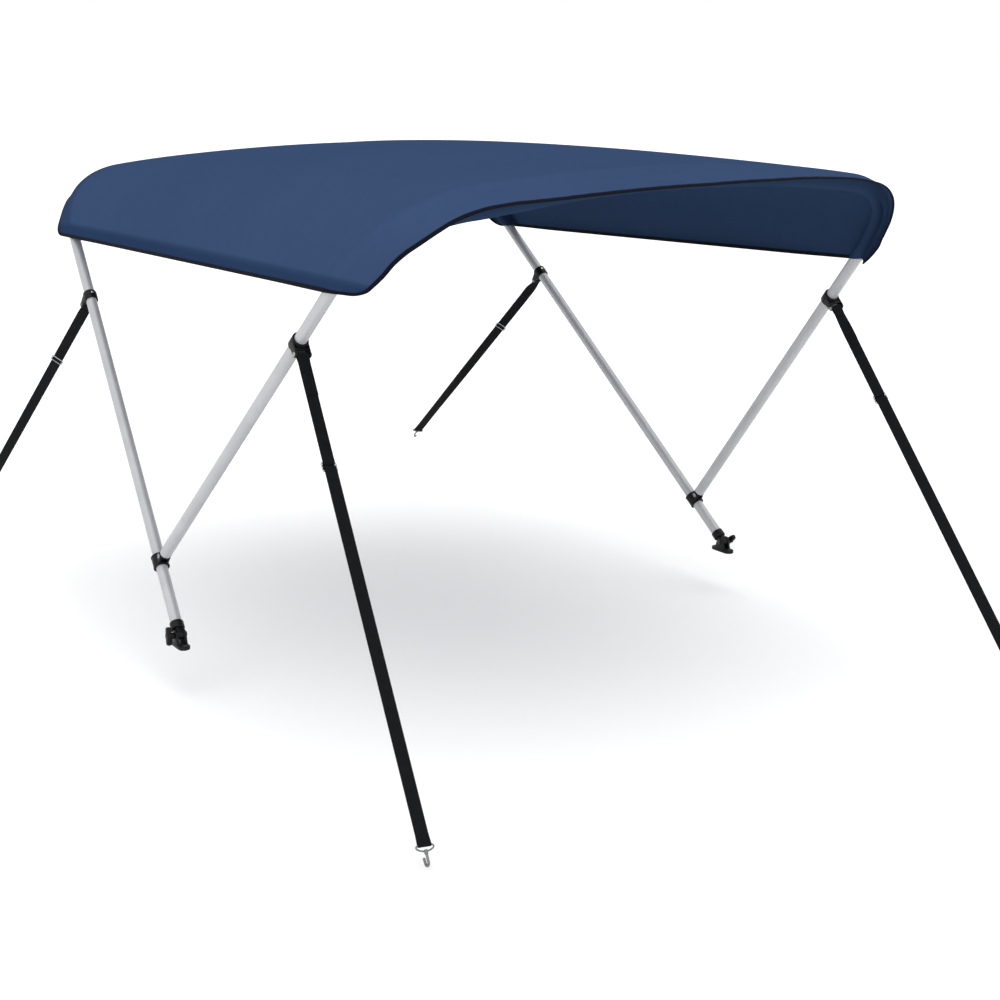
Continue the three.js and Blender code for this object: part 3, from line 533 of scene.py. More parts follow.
def ribbed_finish(name, colour, rib_mm, along_axis, roughness, depth):
    """Narrow-woven tape or webbing: ribs across it and a herringbone of threads"""
    made, tree, shader = finish(name, colour, roughness, specular=0.03)
    per_metre = 1000 / rib_mm
    where = surface_coordinates(tree, (per_metre, per_metre, per_metre))
    parts = node(tree, "ShaderNodeSeparateXYZ", Vector=where)
    run, across = parts.outputs[1 if along_axis else 0], parts.outputs[0 if along_axis else 1]
    slant = math_node(tree, "PINGPONG", across, 2.2)
    rib = math_node(tree, "SINE", math_node(tree, "MULTIPLY", math_node(tree, "ADD", run, slant), FULL_TURN))
    rib_height = node(tree, "ShaderNodeMapRange", Value=rib, **{"From_Min": -1.0}).outputs[0]
    fine = noise_value(tree, (1, 1, 1), 90.0, 4.0)
    # Colour follows the rib height: painted shade in the hollows between ribs and painted highlight on their crests,
    # mixed half and half with random tone
    rib_shade_and_tone = math_node(tree, "ADD", math_node(tree, "MULTIPLY", rib_height, 0.5), math_node(tree, "MULTIPLY", fine, 0.5))
    base = ramp(tree, rib_shade_and_tone, [(0.2, shade(colour, 0.6)), (0.55, colour), (0.95, shade(colour, 1.65))])
    tree.links.new(base, shader.inputs["Base Color"])
    bump(tree, shader, rib_height, 0.5, depth)
    return made


def tube_finish(name):
    """Satin anodised tube: draw lines along it and faint smudges"""
    colour = (0.425, 0.43, 0.445)
    made, tree, shader = finish(name, colour, 0.3, metallic=0.3, specular=0.4)
    lines = noise_value(tree, (900.0, 3.0, 1.0), 1.0, 3.0, "UV")
    smudge = noise_value(tree, (1, 1, 1), 14.0, 4.0)
    base = ramp(tree, smudge, [(0.3, shade(colour, 0.93)), (0.7, shade(colour, 1.05))])
    tree.links.new(base, shader.inputs["Base Color"])
    mix = math_node(tree, "ADD", math_node(tree, "MULTIPLY", lines, 0.5), math_node(tree, "MULTIPLY", smudge, 0.5))
    rough = node(tree, "ShaderNodeMapRange", Value=mix, **{"To_Min": 0.34, "To_Max": 0.5}).outputs[0]
    tree.links.new(rough, shader.inputs["Roughness"])
    bump(tree, shader, lines, 0.12, 0.00005)
    return made


def nylon_finish(name, colour):
    """Moulded nylon: spark-eroded grain and slightly polished high spots"""
    made, tree, shader = finish(name, colour, 0.42, specular=0.18)
    grain = noise_value(tree, (1, 1, 1), 1400.0, 2.0)
    patches = noise_value(tree, (1, 1, 1), 60.0, 4.0)
    base = ramp(tree, patches, [(0.3, shade(colour, 0.8)), (0.7, shade(colour, 1.25))])
    tree.links.new(base, shader.inputs["Base Color"])
    rough = node(tree, "ShaderNodeMapRange", Value=patches, **{"To_Min": 0.3, "To_Max": 0.56}).outputs[0]
    tree.links.new(rough, shader.inputs["Roughness"])
    bump(tree, shader, grain, 0.25, 0.00012)
    return made


def steel_finish(name, colour, low, high):
    """Stainless steel with brushed patches"""
    made, tree, shader = finish(name, colour, low, metallic=1.0)
    patches = noise_value(tree, (1, 1, 1), 220.0, 4.0)
    rough = node(tree, "ShaderNodeMapRange", Value=patches, **{"To_Min": low, "To_Max": high}).outputs[0]
    tree.links.new(rough, shader.inputs["Roughness"])
    base = ramp(tree, patches, [(0.3, shade(colour, 0.85)), (0.7, shade(colour, 1.1))])
    tree.links.new(base, shader.inputs["Base Color"])
    bump(tree, shader, patches, 0.1, 0.0001)
    return made


CANVAS_BLUE = (0.0322, 0.0572, 0.1240)
# Underside colour: a darker copy of the canvas blue, painted shade for the side of the cloth away from the light
CANVAS_BACK_SHADED = (0.0212, 0.0410, 0.0880)
# Pocket colour: darker still, painted shade that cancels the light the sleeves' curved shape catches
POCKET_SHADED = (0.0195, 0.0375, 0.0800)
canvas = canvas_finish("canvas_outer_face", CANVAS_BLUE, 0.05, paints_hem_flap_shade=True)
canvas_back_shaded = canvas_finish("canvas_back_painted_shade", CANVAS_BACK_SHADED, 0.06)
pocket_canvas_shaded = canvas_finish("pocket_canvas_shaded", POCKET_SHADED, 0.06)
canvas_thread = ribbed_finish("canvas_thread", (0.034, 0.062, 0.135), 0.4, True, 0.7, 0.0001)
binding_tape = ribbed_finish("binding_tape", (0.005, 0.006, 0.010), 0.9, True, 0.7, 0.0002)
webbing = ribbed_finish("polyester_webbing", (0.0075, 0.0080, 0.0088), 1.6, True, 0.7, 0.0004)
thread = ribbed_finish("sewing_thread", (0.008, 0.009, 0.012), 0.4, True, 0.6, 0.0001)
tube_metal = tube_finish("anodised_tube")
nylon = nylon_finish("moulded_nylon", (0.0035, 0.0038, 0.0043))
steel = steel_finish("stainless_bolt", (0.34, 0.34, 0.345), 0.24, 0.42)
dark_screw = steel_finish("blackened_screw", (0.07, 0.07, 0.073), 0.3, 0.5)
bright_screw = steel_finish("polished_screw", (0.7, 0.7, 0.71), 0.2, 0.34)
wire_steel = steel_finish("nickelled_slider_wire", (0.45, 0.455, 0.465), 0.2, 0.36)
hook_steel = steel_finish("hook_wire", (0.17, 0.172, 0.178), 0.22, 0.4)


# Cloth surface

CORNER_ROWS, SIDE_ROWS = 8, 78
FLAP_STEPS, WRAP_STEPS, SPAN_STEPS = 8, 4, 88
HEM_BAND = 34.0  # turned slightly inward along both side hems
HEM_TUCK = 5.0


def row_distances(bow, name):
    start, whole, radius = -bow["drop"][name], bow["whole"], bow["corner"][name]
    corner = [radius * (1 - math.cos(math.pi / 2 * i / CORNER_ROWS)) for i in range(CORNER_ROWS)]
    rest = whole - start - radius
    return [start + c for c in corner] + [start + radius + rest * i / SIDE_ROWS for i in range(SIDE_ROWS + 1)]


def bow_rows(bow):
    left = [Station(bow, -1, d) for d in row_distances(bow, "left")]
    right = [Station(bow, 1, d) for d in row_distances(bow, "right")]
    return left + right[-2::-1]


def corner_inset(station):
    radius = station.bow["corner"]["left" if station.side < 0 else "right"]
    short = min(max(radius - station.above, 0.0), radius)
    return radius - math.sqrt(radius ** 2 - short ** 2)


def flap_points(station, steps_flap, steps_wrap, inset=0.0, raise_by=0.0):
    """From the tube's crown line outward over the tube and on to the free edge"""
    n = station.cloth_normal
    out = Vector((0, station.bow["outward"], 0))
    squareness = math.sqrt(1 - station.tangent.y ** 2)
    turn = station.flap("flap_turn")
    wrap = math.atan(math.tan(turn) / squareness)
    length = station.flap("flap_length") - inset - corner_inset(station)
    radius = CLOTH_RADIUS + raise_by
    points = []
    for i in range(steps_wrap + 1):
        share = wrap * i / steps_wrap
        points.append(station.centre + n * radius * math.cos(share) + out * (radius * math.sin(share) / squareness))
    run = out * math.cos(turn) - n * math.sin(turn)
    end = points[-1]
    points += [end + run * (length * i / steps_flap) for i in range(1, steps_flap + 1)]
    face = station.tangent.cross(run).normalized()
    return points, run, end, (-face if face.dot(n) < 0 else face)


def cloth_rows(inset=0.0):
    """Rows of points over the whole canopy, front edge to rear edge, left hem to right hem"""
    mains, seconds = bow_rows(MAIN), bow_rows(SECOND)
    low = min(mains[0].centre.z, mains[-1].centre.z)
    high = max(s.centre.z for s in mains)
    rows = []
    for main, second in zip(mains, seconds):
        rear = flap_points(main, FLAP_STEPS, WRAP_STEPS, inset)[0]
        front = flap_points(second, FLAP_STEPS, WRAP_STEPS, inset)[0]
        up = min(max((main.centre.z - low) / (high - low), 0.0), 1.0)
        row = front[::-1]
        for k in range(1, SPAN_STEPS):
            share = k / SPAN_STEPS
            p = front[0].lerp(rear[0], share)
            p.z += BULGE * up ** 2.2 * 4 * share * (1 - share)
            row.append(p)
        rows.append(row + rear)
    return rows, mains


def grid_normals(rows):
    last_row, last_column = len(rows) - 1, len(rows[0]) - 1
    normals = []
    for i, row in enumerate(rows):
        line = []
        for j in range(len(row)):
            across = row[min(j + 1, last_column)] - row[max(j - 1, 0)]
            upward = rows[min(i + 1, last_row)][j] - rows[max(i - 1, 0)][j]
            line.append(across.cross(upward).normalized())
        normals.append(line)
    middle = normals[len(rows) // 2][len(rows[0]) // 2]
    if middle.z < 0:
        normals = [[-n for n in line] for line in normals]
    return normals


# Creases from the bow ends into the cloth: row side, start near front (0) or rear (1), lean, length and depth
CREASES = [
    (-1, 0.07, 0.34, 0.42, 2.6),
    (-1, 0.11, 0.2, 0.3, 1.6),
    (-1, 0.93, -0.3, 0.4, 2.2),
    (-1, 0.88, -0.16, 0.26, 1.4),
    (1, 0.08, 0.3, 0.38, 2.4),
    (1, 0.92, -0.34, 0.42, 2.4),
    (1, 0.86, -0.18, 0.3, 1.5),
]


def crease_depth(side, girth_mm, share):
    """Soft tension creases that start at the corners and fade into the field"""
    total = 0.0
    for crease_side, start, lean, length, depth in CREASES:
        if crease_side != side:
            continue
        run = girth_mm / 700.0
        if run > length:
            continue
        centre = start + lean * run
        width = 0.011 + 0.03 * run
        fade = math.sin(math.pi * min(run / length, 1.0)) ** 0.8
        total += depth * fade * math.exp(-(((share - centre) / width) ** 2))
    return total


def cloth_offset(i, j, count_rows, count_columns, above, share):
    """How far the cloth stands out of its even surface: creases, slow waves and the pull along the tape"""
    side = -1 if i < count_rows / 2 else 1
    value = -crease_depth(side, above, share)
    wave = noise.noise(Vector((above * 0.0016 * side + 7.0, share * 3.1, 0.5)))
    value += 2.2 * wave * smooth_step(0.0, 260.0, above) * math.sin(math.pi * share)
    edge = min(above, share * 1600.0, (1 - share) * 1600.0)
    run = share * 1600.0 if above < 40 else above
    pucker = math.sin(run / 6.4 + 1.7 * math.sin(run / 37.0)) * 0.35
    value += pucker * math.exp(-((edge / 16.0) ** 2)) * smooth_step(0.0, 6.0, edge)
    return value


def shaped_cloth(inset=0.0):
    """The canopy's rows with its creases and the side bands turned in"""
    rows, mains = cloth_rows(inset)
    normals = grid_normals(rows)
    count_rows, count_columns = len(rows), len(rows[0])
    shaped = []
    for i, row in enumerate(rows):
        above = mains[i].above
        tuck = HEM_TUCK * (1 - smooth_step(0.0, HEM_BAND * 1.25, above)) * max(0.0, 1 - above / (HEM_BAND * 1.25))
        line = []
        run = [0.0]
        for j in range(1, count_columns):
            run.append(run[-1] + (row[j] - row[j - 1]).length)
        bow_column = FLAP_STEPS + WRAP_STEPS
        for j, p in enumerate(row):
            share = run[j] / run[-1]
            inner = smooth_step(1.0, 14.0, min(j, count_columns - 1 - j) - bow_column)
            value = cloth_offset(i, j, count_rows, count_columns, above, share) - tuck * inner
            line.append(p + normals[i][j] * value)
        shaped.append(line)
    return shaped, grid_normals(shaped), mains


CLOTH_THICK = 0.9
WRAP_ALLOWANCE = 8.0  # cloth taken up over the tube before a flap starts
cloth, cloth_normals, cloth_stations = shaped_cloth()


def hem_flap_shade_share(above, j, count_columns, row):
    """Share of painted shade on the canvas: along both side hem bands where the hem facings lie, over the rear pocket
    and flap, and a small darker patch beside the rear bow at the hem
    """
    hem_band_shade = 1 - smooth_step(HEM_BAND + 5.0, HEM_BAND + 14.0, above)
    rear_bow = count_columns - 1 - FLAP_STEPS - WRAP_STEPS
    before_bow = (row[rear_bow] - row[j]).length if j < rear_bow else 0.0
    pocket = 0.55 * (1 - smooth_step(SLEEVE_SEAM - 6.0, SLEEVE_SEAM + 16.0, before_bow))
    # a small patch beside the rear bow at the hem, painted darker
    patch = 0.12 if above < 38.0 and 0 < abs(j - rear_bow) < 3 else 0.0
    return min(max(hem_band_shade, pocket) + patch, 1.2)


def build_canopy():
    """One sheet of canvas over both bows, cut 2 mm short of the tape's fold"""
    rows, _, _ = shaped_cloth(1.6)
    bm = bmesh.new()
    count_rows, count_columns = len(rows), len(rows[0])
    bmesh.ops.create_grid(bm, x_segments=count_columns - 1, y_segments=count_rows - 1, size=1.0, calc_uvs=True)
    run_layer = bm.verts.layers.float.new("run")
    girth_layer = bm.verts.layers.float.new("girth")
    hem_flap_shade_layer = bm.verts.layers.float.new("hem_flap_shade")
    ordered = sorted(bm.verts, key=lambda v: (round(v.co.y, 6), round(v.co.x, 6)))
    middle = count_columns // 2
    girth = 0.0
    for i in range(count_rows):
        if i:
            girth += (rows[i][middle] - rows[i - 1][middle]).length
        run = 0.0
        for j in range(count_columns):
            vert = ordered[i * count_columns + j]
            if j:
                run += (rows[i][j] - rows[i][j - 1]).length
            vert.co = rows[i][j]
            vert[run_layer], vert[girth_layer] = run, girth
            # each point's share of painted shade along the hems and over the rear pocket and flap
            vert[hem_flap_shade_layer] = hem_flap_shade_share(cloth_stations[i].above, j, count_columns, rows[i])
    uv_layer = bm.loops.layers.uv.verify()
    for face in bm.faces:
        for loop in face.loops:
            loop[uv_layer].uv = (loop.vert[run_layer] * MM, loop.vert[girth_layer] * MM)
    crown = max(bm.faces, key=lambda f: f.calc_center_median().z)
    crown.normal_update()
    if crown.normal.z < 0:
        bmesh.ops.reverse_faces(bm, faces=bm.faces)
    made = piece("canopy_cloth", bm, [canvas, canvas_back_shaded], ["canopy"], turn_out=False)
    wall = made.modifiers.new("cloth thickness", "SOLIDIFY")
    wall.thickness = CLOTH_THICK * MM
    wall.offset = 0.0
    # the inner face and the rim take the darker copy of the canvas, painted shade
    wall.material_offset = 1
    wall.material_offset_rim = 1
    wall.use_even_offset = False
    return made


TAPE_WIDTH = 7.5
TAPE_HALF = 1.5
TAPE_THICK = 0.55


def rim_stations(spacing):
    """Places along the canopy's whole rim: point, way in over the cloth, and cloth normal, evenly spaced"""
    last_row, last_column = len(cloth) - 1, len(cloth[0]) - 1
    loop = [(0, j) for j in range(last_column)] + [(i, last_column) for i in range(last_row)]
    loop += [(last_row, j) for j in range(last_column, 0, -1)] + [(i, 0) for i in range(last_row, 0, -1)]
    rows_in = 4
    points = [cloth[i][j] for i, j in loop]
    inner = [cloth[min(max(i, rows_in), last_row - rows_in)][min(max(j, 1), last_column - 1)] for i, j in loop]
    normals = [cloth_normals[min(max(i, 1), last_row - 1)][min(max(j, 1), last_column - 1)] for i, j in loop]
    count = len(points)
    runs = [0.0]
    for k in range(count):
        runs.append(runs[-1] + (points[(k + 1) % count] - points[k]).length)
    total = runs[-1]
    number = int(total / spacing)
    places = []
    k = 0
    for step in range(number):
        run = total * step / number
        while runs[k + 1] < run:
            k += 1
        share = (run - runs[k]) / max(runs[k + 1] - runs[k], 1e-9)
        after = (k + 1) % count
        point = points[k].lerp(points[after], share)
        places.append((point, inner[k].lerp(inner[after], share) - point, normals[k].lerp(normals[after], share)))
    return places, total


def rim_frames(spacing):
    """Frames along the rim: x out over the edge, y off the cloth, z along the rim"""
    places, total = rim_stations(spacing)
    count = len(places)
    matrices = []
    for k in range(count):
        ahead = (places[(k + 1) % count][0] - places[k - 1][0]).normalized()
        inward = places[k][1]
        inward = (inward - ahead * inward.dot(ahead)).normalized()
        off = ahead.cross(-inward)
        sign = 1 if off.dot(places[k][2]) > 0 else -1
        matrices.append(basis(places[k][0], -inward, off * sign, ahead * sign))
    return matrices, total


def tape_outline():
    """Section of the folded tape: x runs in from the fold over the cloth, y is off the cloth"""
    half, width, thick = TAPE_HALF, TAPE_WIDTH, TAPE_THICK
    outer = [(-width, half - 0.25), (-width + 0.6, half), (-4, half), (-1.2, half * 0.97), (0.0, half * 0.72), (0.55, 0)]
    inner_half = half - thick
    inner = [(0.0, 0), (-0.4, inner_half * 0.75), (-1.4, inner_half), (-4, inner_half), (-width, inner_half)]
    top = outer + [(x, -y) for x, y in outer[-2::-1]]
    back = [(x, -y) for x, y in inner[::-1]] + inner[1:]
    return top + back


def build_binding():
    matrices, total = rim_frames(5.5)
    bm = bmesh.new()
    sweep(bm, tape_outline(), matrices + matrices[:1], closed=True)
    return piece("edge_tape", bm, binding_tape, ["edge_binding"]), total


def stitch_row(bm, frames, x, y, length=3.1, width=0.8, thick=0.55):
    """Stitches one after the other along a row of frames: each a stretched grain of thread"""
    grain = Matrix.Translation((x, y, 0)) @ Matrix.Diagonal((width / 2, thick / 2, length / 2, 1))
    for start in range(0, len(frames), 40):
        shape = bmesh.new()
        for here in frames[start:start + 40]:
            bmesh.ops.create_icosphere(shape, subdivisions=1, radius=1.0, matrix=here @ grain)
        add_shape(bm, shape, Matrix.Identity(4))


def build_tape_stitches():
    """Lockstitch that holds the binding, seen on both of its faces"""
    frames, _ = rim_frames(4.4)
    for name, side in (("outer", 1), ("inner", -1)):
        bm = bmesh.new()
        stitch_row(bm, frames, -TAPE_WIDTH + 1.7, side * (TAPE_HALF + 0.02))
        piece("tape_stitches_" + name, bm, thread, [])


def seam_frames(column, way, distance, spacing=4.4):
    """Frames along a seam that runs beside a bow, at a distance over the cloth from the bow's own column"""
    points = []
    for i, row in enumerate(cloth):
        if min(cloth_stations[i].above, cloth_stations[len(cloth) - 1 - i].above) < TAPE_WIDTH + 2:
            continue
        j, left = column, distance
        while (row[j + way] - row[j]).length < left:
            left -= (row[j + way] - row[j]).length
            j += way
        share = left / (row[j + way] - row[j]).length
        normal = cloth_normals[i][j].lerp(cloth_normals[i][j + way], share).normalized()
        points.append((row[j].lerp(row[j + way], share), normal))
    frames = []
    left = 0.0
    for (a, a_normal), (b, b_normal) in zip(points, points[1:]):
        gap = (b - a).length
        ahead = (b - a).normalized()
        while left < gap:
            n = a_normal.lerp(b_normal, left / gap)
            n = (n - ahead * n.dot(ahead)).normalized()
            frames.append(basis(a.lerp(b, left / gap), n.cross(ahead), n, ahead))
            left += spacing
        left -= gap
    return frames


def build_pocket_stitches():
    """Two seams beside each bow, where the pockets are sewn through the canopy"""
    columns = {"front": FLAP_STEPS + WRAP_STEPS, "rear": len(cloth[0]) - 1 - FLAP_STEPS - WRAP_STEPS}
    for name, column in columns.items():
        bm = bmesh.new()
        for way in (-1, 1):
            extra = WRAP_ALLOWANCE if (way < 0) == (name == "front") else 0.0
            stitch_row(bm, seam_frames(column, way, SLEEVE_SEAM + 3.5 + extra), 0.0, CLOTH_THICK / 2 + 0.05)
        piece("pocket_stitches_" + name, bm, canvas_thread, [])


def build_sleeve(name, bow, other, node_name):
    """Pocket of canvas round the tube, sewn up to the cloth on both sides"""
    stations, others = bow_rows(bow), bow_rows(other)
    picked = [k for k, s in enumerate(stations) if s.above > SLEEVE_FROM_HEM]
    half = 0.45
    bm = bmesh.new()
    rings = []
    for k in picked:
        station, opposite = stations[k], others[k]
        _, run, end, face = flap_points(station, 1, 4)
        n = station.cloth_normal
        pull = (opposite.centre + opposite.cloth_normal * CLOTH_RADIUS) - (station.centre + n * CLOTH_RADIUS)
        pull.normalize()
        slant = 1 / math.sqrt(1 - station.tangent.y ** 2)
        square = Vector((0, bow["outward"] * slant, 0))
        ripple = 0.5 * math.sin(station.distance / 21.0) * math.sin(station.distance / 57.0 + station.side)
        radius = SLEEVE_RADIUS + max(ripple, -0.3)
        settle = smooth_step(4.0, 14.0, station.above)
        depth = 2.3 - 1.15 * settle
        slack = station.flap("slack")
        top = station.centre + n * (CLOTH_RADIUS - depth)
        seam = end - face * depth
        path = [top + pull * (SLEEVE_SEAM + SLEEVE_MARGIN) * slant, top + pull * SLEEVE_SEAM * slant]
        for step in range(9):
            turn = -1.15 + 2.3 * step / 8
            hang = slack * math.cos(turn) ** 2
            path.append(station.centre - n * (radius * math.cos(turn) + hang) + square * radius * math.sin(turn))
        path += [seam + run * SLEEVE_SEAM * slant, seam + run * (SLEEVE_SEAM + SLEEVE_MARGIN) * slant]
        ring = []
        for sign in (1, -1):
            line = []
            for m, p in enumerate(path):
                ahead = (path[min(m + 1, len(path) - 1)] - path[max(m - 1, 0)]).normalized()
                wall = half if 0 < m < len(path) - 1 else 0.12
                line.append(p + station.tangent.cross(ahead).normalized() * wall * sign)
            ring += line if sign > 0 else line[::-1]
        rings.append(ring)
    skin(bm, rings)
    return piece(name, bm, pocket_canvas_shaded, [node_name])


def skin(bm, rings):
    """Joins rings of points one after the other: the first is drawn, each next one is extruded and moved to its place"""
    along_layer = bm.verts.layers.float.new("along")
    girth_layer = bm.verts.layers.float.new("girth")
    ring = [bm.verts.new(p) for p in rings[0]]
    girth = 0.0
    for i, vert in enumerate(ring):
        vert[girth_layer] = girth
        girth += (rings[0][(i + 1) % len(ring)] - rings[0][i]).length
    edges = [bm.edges.new((ring[i], ring[(i + 1) % len(ring)])) for i in range(len(ring))]
    bmesh.ops.contextual_create(bm, geom=edges)
    run = 0.0
    order = ring
    for k, points in enumerate(rings[1:], 1):
        run += (points[0] - rings[k - 1][0]).length
        made = bmesh.ops.extrude_edge_only(bm, edges=edges)["geom"]
        fresh = [g for g in made if isinstance(g, bmesh.types.BMVert)]
        fresh_set = set(fresh)
        following = []
        for vert in order:
            following.append(next(e.other_vert(vert) for e in vert.link_edges if e.other_vert(vert) in fresh_set))
        for vert, p in zip(following, points):
            vert.co = p
            vert[along_layer] = run
        edges = [g for g in made if isinstance(g, bmesh.types.BMEdge) and all(v in fresh_set for v in g.verts)]
        order = following
    bmesh.ops.contextual_create(bm, geom=edges)
    uv_layer = bm.loops.layers.uv.verify()
    for face in bm.faces:
        values = [loop.vert[girth_layer] for loop in face.loops]
        wraps = max(values) - min(values) > girth / 2
        for loop, value in zip(face.loops, values):
            if wraps and value < girth / 2:
                value += girth
            loop[uv_layer].uv = (value * MM, loop.vert[along_layer] * MM)


# Tubes

def build_tube(name, bow, starts, node_name):
    """One bent tube: straight leg, crown and straight leg"""
    plane = Vector((1, 0, 0)).cross(Vector((0, bow["rake"], 1))).normalized()
    whole = bow["whole"]
    steps = 96
    left = [Station(bow, -1, whole * i / steps) for i in range(1, steps + 1)]
    right = [Station(bow, 1, whole * i / steps) for i in range(steps - 1, 0, -1)]
    hems = [Station(bow, side, 0) for side in (-1, 1)]
    up = (hems[0].centre - starts[0]).normalized()
    down = (starts[1] - hems[1].centre).normalized()
    line = [(starts[0], up)]
    line.append((hems[0].centre, (up + hems[0].tangent).normalized()))
    line += [(s.centre, s.tangent) for s in left + right]
    line.append((hems[1].centre, (down + hems[1].tangent).normalized()))
    line.append((starts[1], down))
    places = []
    for centre, tangent in line:
        x = plane.cross(tangent).normalized()
        places.append(basis(centre, x, tangent.cross(x), tangent))
    bm = bmesh.new()
    sweep(bm, circle_outline(TUBE_RADIUS, 32), places)
    return piece(name, bm, tube_metal, [node_name])


def second_leg(side):
    joint = leg_point(side, JAW_HEIGHT["left" if side < 0 else "right"])
    return joint, (Station(SECOND, side, 0).centre - joint).normalized()


def build_tubes():
    main_starts = [leg_point(s, 0) + leg_direction(s) * (LEG_CUP_FLOOR + FIT) for s in (-1, 1)]
    second_starts = []
    for side in (-1, 1):
        joint, direction = second_leg(side)
        second_starts.append(joint + direction * (JAW_REACH + BOW_END_FLOOR + FIT))
    build_tube("main_bow_tube", MAIN, main_starts, "main_bow")
    build_tube("second_bow_tube", SECOND, second_starts, "second_bow")


# Deck hinges

X_UP = Matrix(((0, 0, 1, 0), (0, 1, 0, 0), (-1, 0, 0, 0), (0, 0, 0, 1)))  # a turned round laid along x


def build_deck_hinge(name, side):
    bm = bmesh.new()
    base = Matrix.Translation((side * HINGE_HALF_SPACING, 0, 0))
    slab(bm, stadium_outline(72, 26), 0.0, 8.6, base, 1.8, 3)
    slab(bm, stadium_outline(44, 24.6), 7.6, 9.8, base, 1.2, 3)
    ear = eye_outline((0, PIVOT_HEIGHT - 4), 11.5, 18, 0)
    for low, high in ((EAR_INNER, EAR_FACE), (-EAR_FACE, -EAR_INNER)):
        slab(bm, ear, low, high, base @ Matrix.Translation((0, 0, 4)) @ OUTLINE_TO_X, 1.1, 3)
    piece(name + "_plate", bm, nylon, ["deck_hinge_" + name.split("_")[1]])
    bm = bmesh.new()
    for y in (-27, 27):
        head = base @ Matrix.Translation((0, y, 0))
        profile = [(0, 7.0), (4.1, 8.2), (4.5, 8.7), (4.2, 9.5), (2.9, 10.2), (1.4, 10.35), (0.9, 9.7), (0, 9.6)]
        turned(bm, profile, head, 24)
    piece(name + "_deck_screws", bm, dark_screw, [])


def build_hinge_bolt(name, side, outward):
    bm = bmesh.new()
    face = EAR_FACE + FIT
    hexagon = [(5.9 * math.cos(math.pi / 3 * i), 5.9 * math.sin(math.pi / 3 * i)) for i in range(6)]
    slab(bm, hexagon, -face - 3.3, -face - 0.5, outward @ OUTLINE_TO_X, 0.5, 2)
    barrel(bm, 6.6, -face - 0.6, -face, outward @ X_UP, 0.2)
    barrel(bm, 3.1, -face - 1.0, face + 0.6, outward @ X_UP, 0.2, 20)
    piece(name + "_bolt", bm, dark_screw, ["hinge_bolt_" + name.split("_")[1]])


def build_knob(name, tilt, outward):
    """Wing knob: a round boss and two thick rounded wings"""
    bm = bmesh.new()
    face = EAR_FACE + 2 * FIT
    barrel(bm, 6.9, face, face + 9.5, outward @ X_UP, 1.0)
    turn = outward @ Matrix.Rotation(tilt - math.pi / 2, 4, "X")
    slab(bm, wing_outline(), face + 6.0, face + 16.8, turn @ OUTLINE_TO_X, 3.2, 4)
    barrel(bm, 8.3, face + 6.5, face + 17.0, outward @ X_UP, 2.2)
    piece(name + "_knob", bm, nylon, ["hinge_knob_" + name.split("_")[1]])


def wing_outline():
    """Two lobes with a slight waist"""
    points = []
    for i in range(40):
        turn = FULL_TURN * i / 40
        y = 20.0 * math.sin(turn)
        waist = 7.2 + 1.2 * math.sin(turn) ** 2
        x = waist * math.copysign(abs(math.cos(turn)) ** 0.55, math.cos(turn))
        points.append((x, y))
    return points


def build_leg_end(name, side):
    pin = leg_point(side, 0)
    direction = leg_direction(side)
    upright = unit(0, direction.y, direction.z)
    tilt = math.atan2(direction.x, math.hypot(direction.y, direction.z))
    frame_here = basis(pin, Vector((1, 0, 0)), upright.cross(Vector((1, 0, 0))), upright)
    bm = bmesh.new()
    barrel(bm, 10.5, -TONGUE_HALF, TONGUE_HALF, frame_here @ X_UP, 0.8, 40)
    block = [(-10.5, 0), (10.5, 0), (10.5, 15.5), (-10.5, 15.5)]
    slab(bm, block, -TONGUE_HALF, TONGUE_HALF, frame_here @ OUTLINE_TO_X, 0.6)
    cup = frame_here @ Matrix.Rotation(tilt, 4, "Y")
    profile = [(0, 13.0), (13.2, 13.0), (14.4, 13.6), (15.0, 15.0), (15.0, 29.6), (14.4, 30.7), (13.4, 31.0)]
    profile += [(13.1, 30.6), (13.05, 18.0), (0, 18.0)]
    turned(bm, profile, cup, 40)
    piece(name + "_leg_end", bm, nylon, ["leg_end_" + name.split("_")[1]])


def build_hinges():
    for word, side in SIDES.items():
        name = "hinge_" + word
        pin = leg_point(side, 0)
        outward = basis(pin, Vector((side, 0, 0)), Vector((0, side, 0)), Vector((0, 0, 1)))
        build_deck_hinge(name, side)
        build_hinge_bolt(name, side, outward)
        build_knob(name, math.pi / 2 if side < 0 else 2.45, outward)
        build_leg_end(name, side)


# Jaws

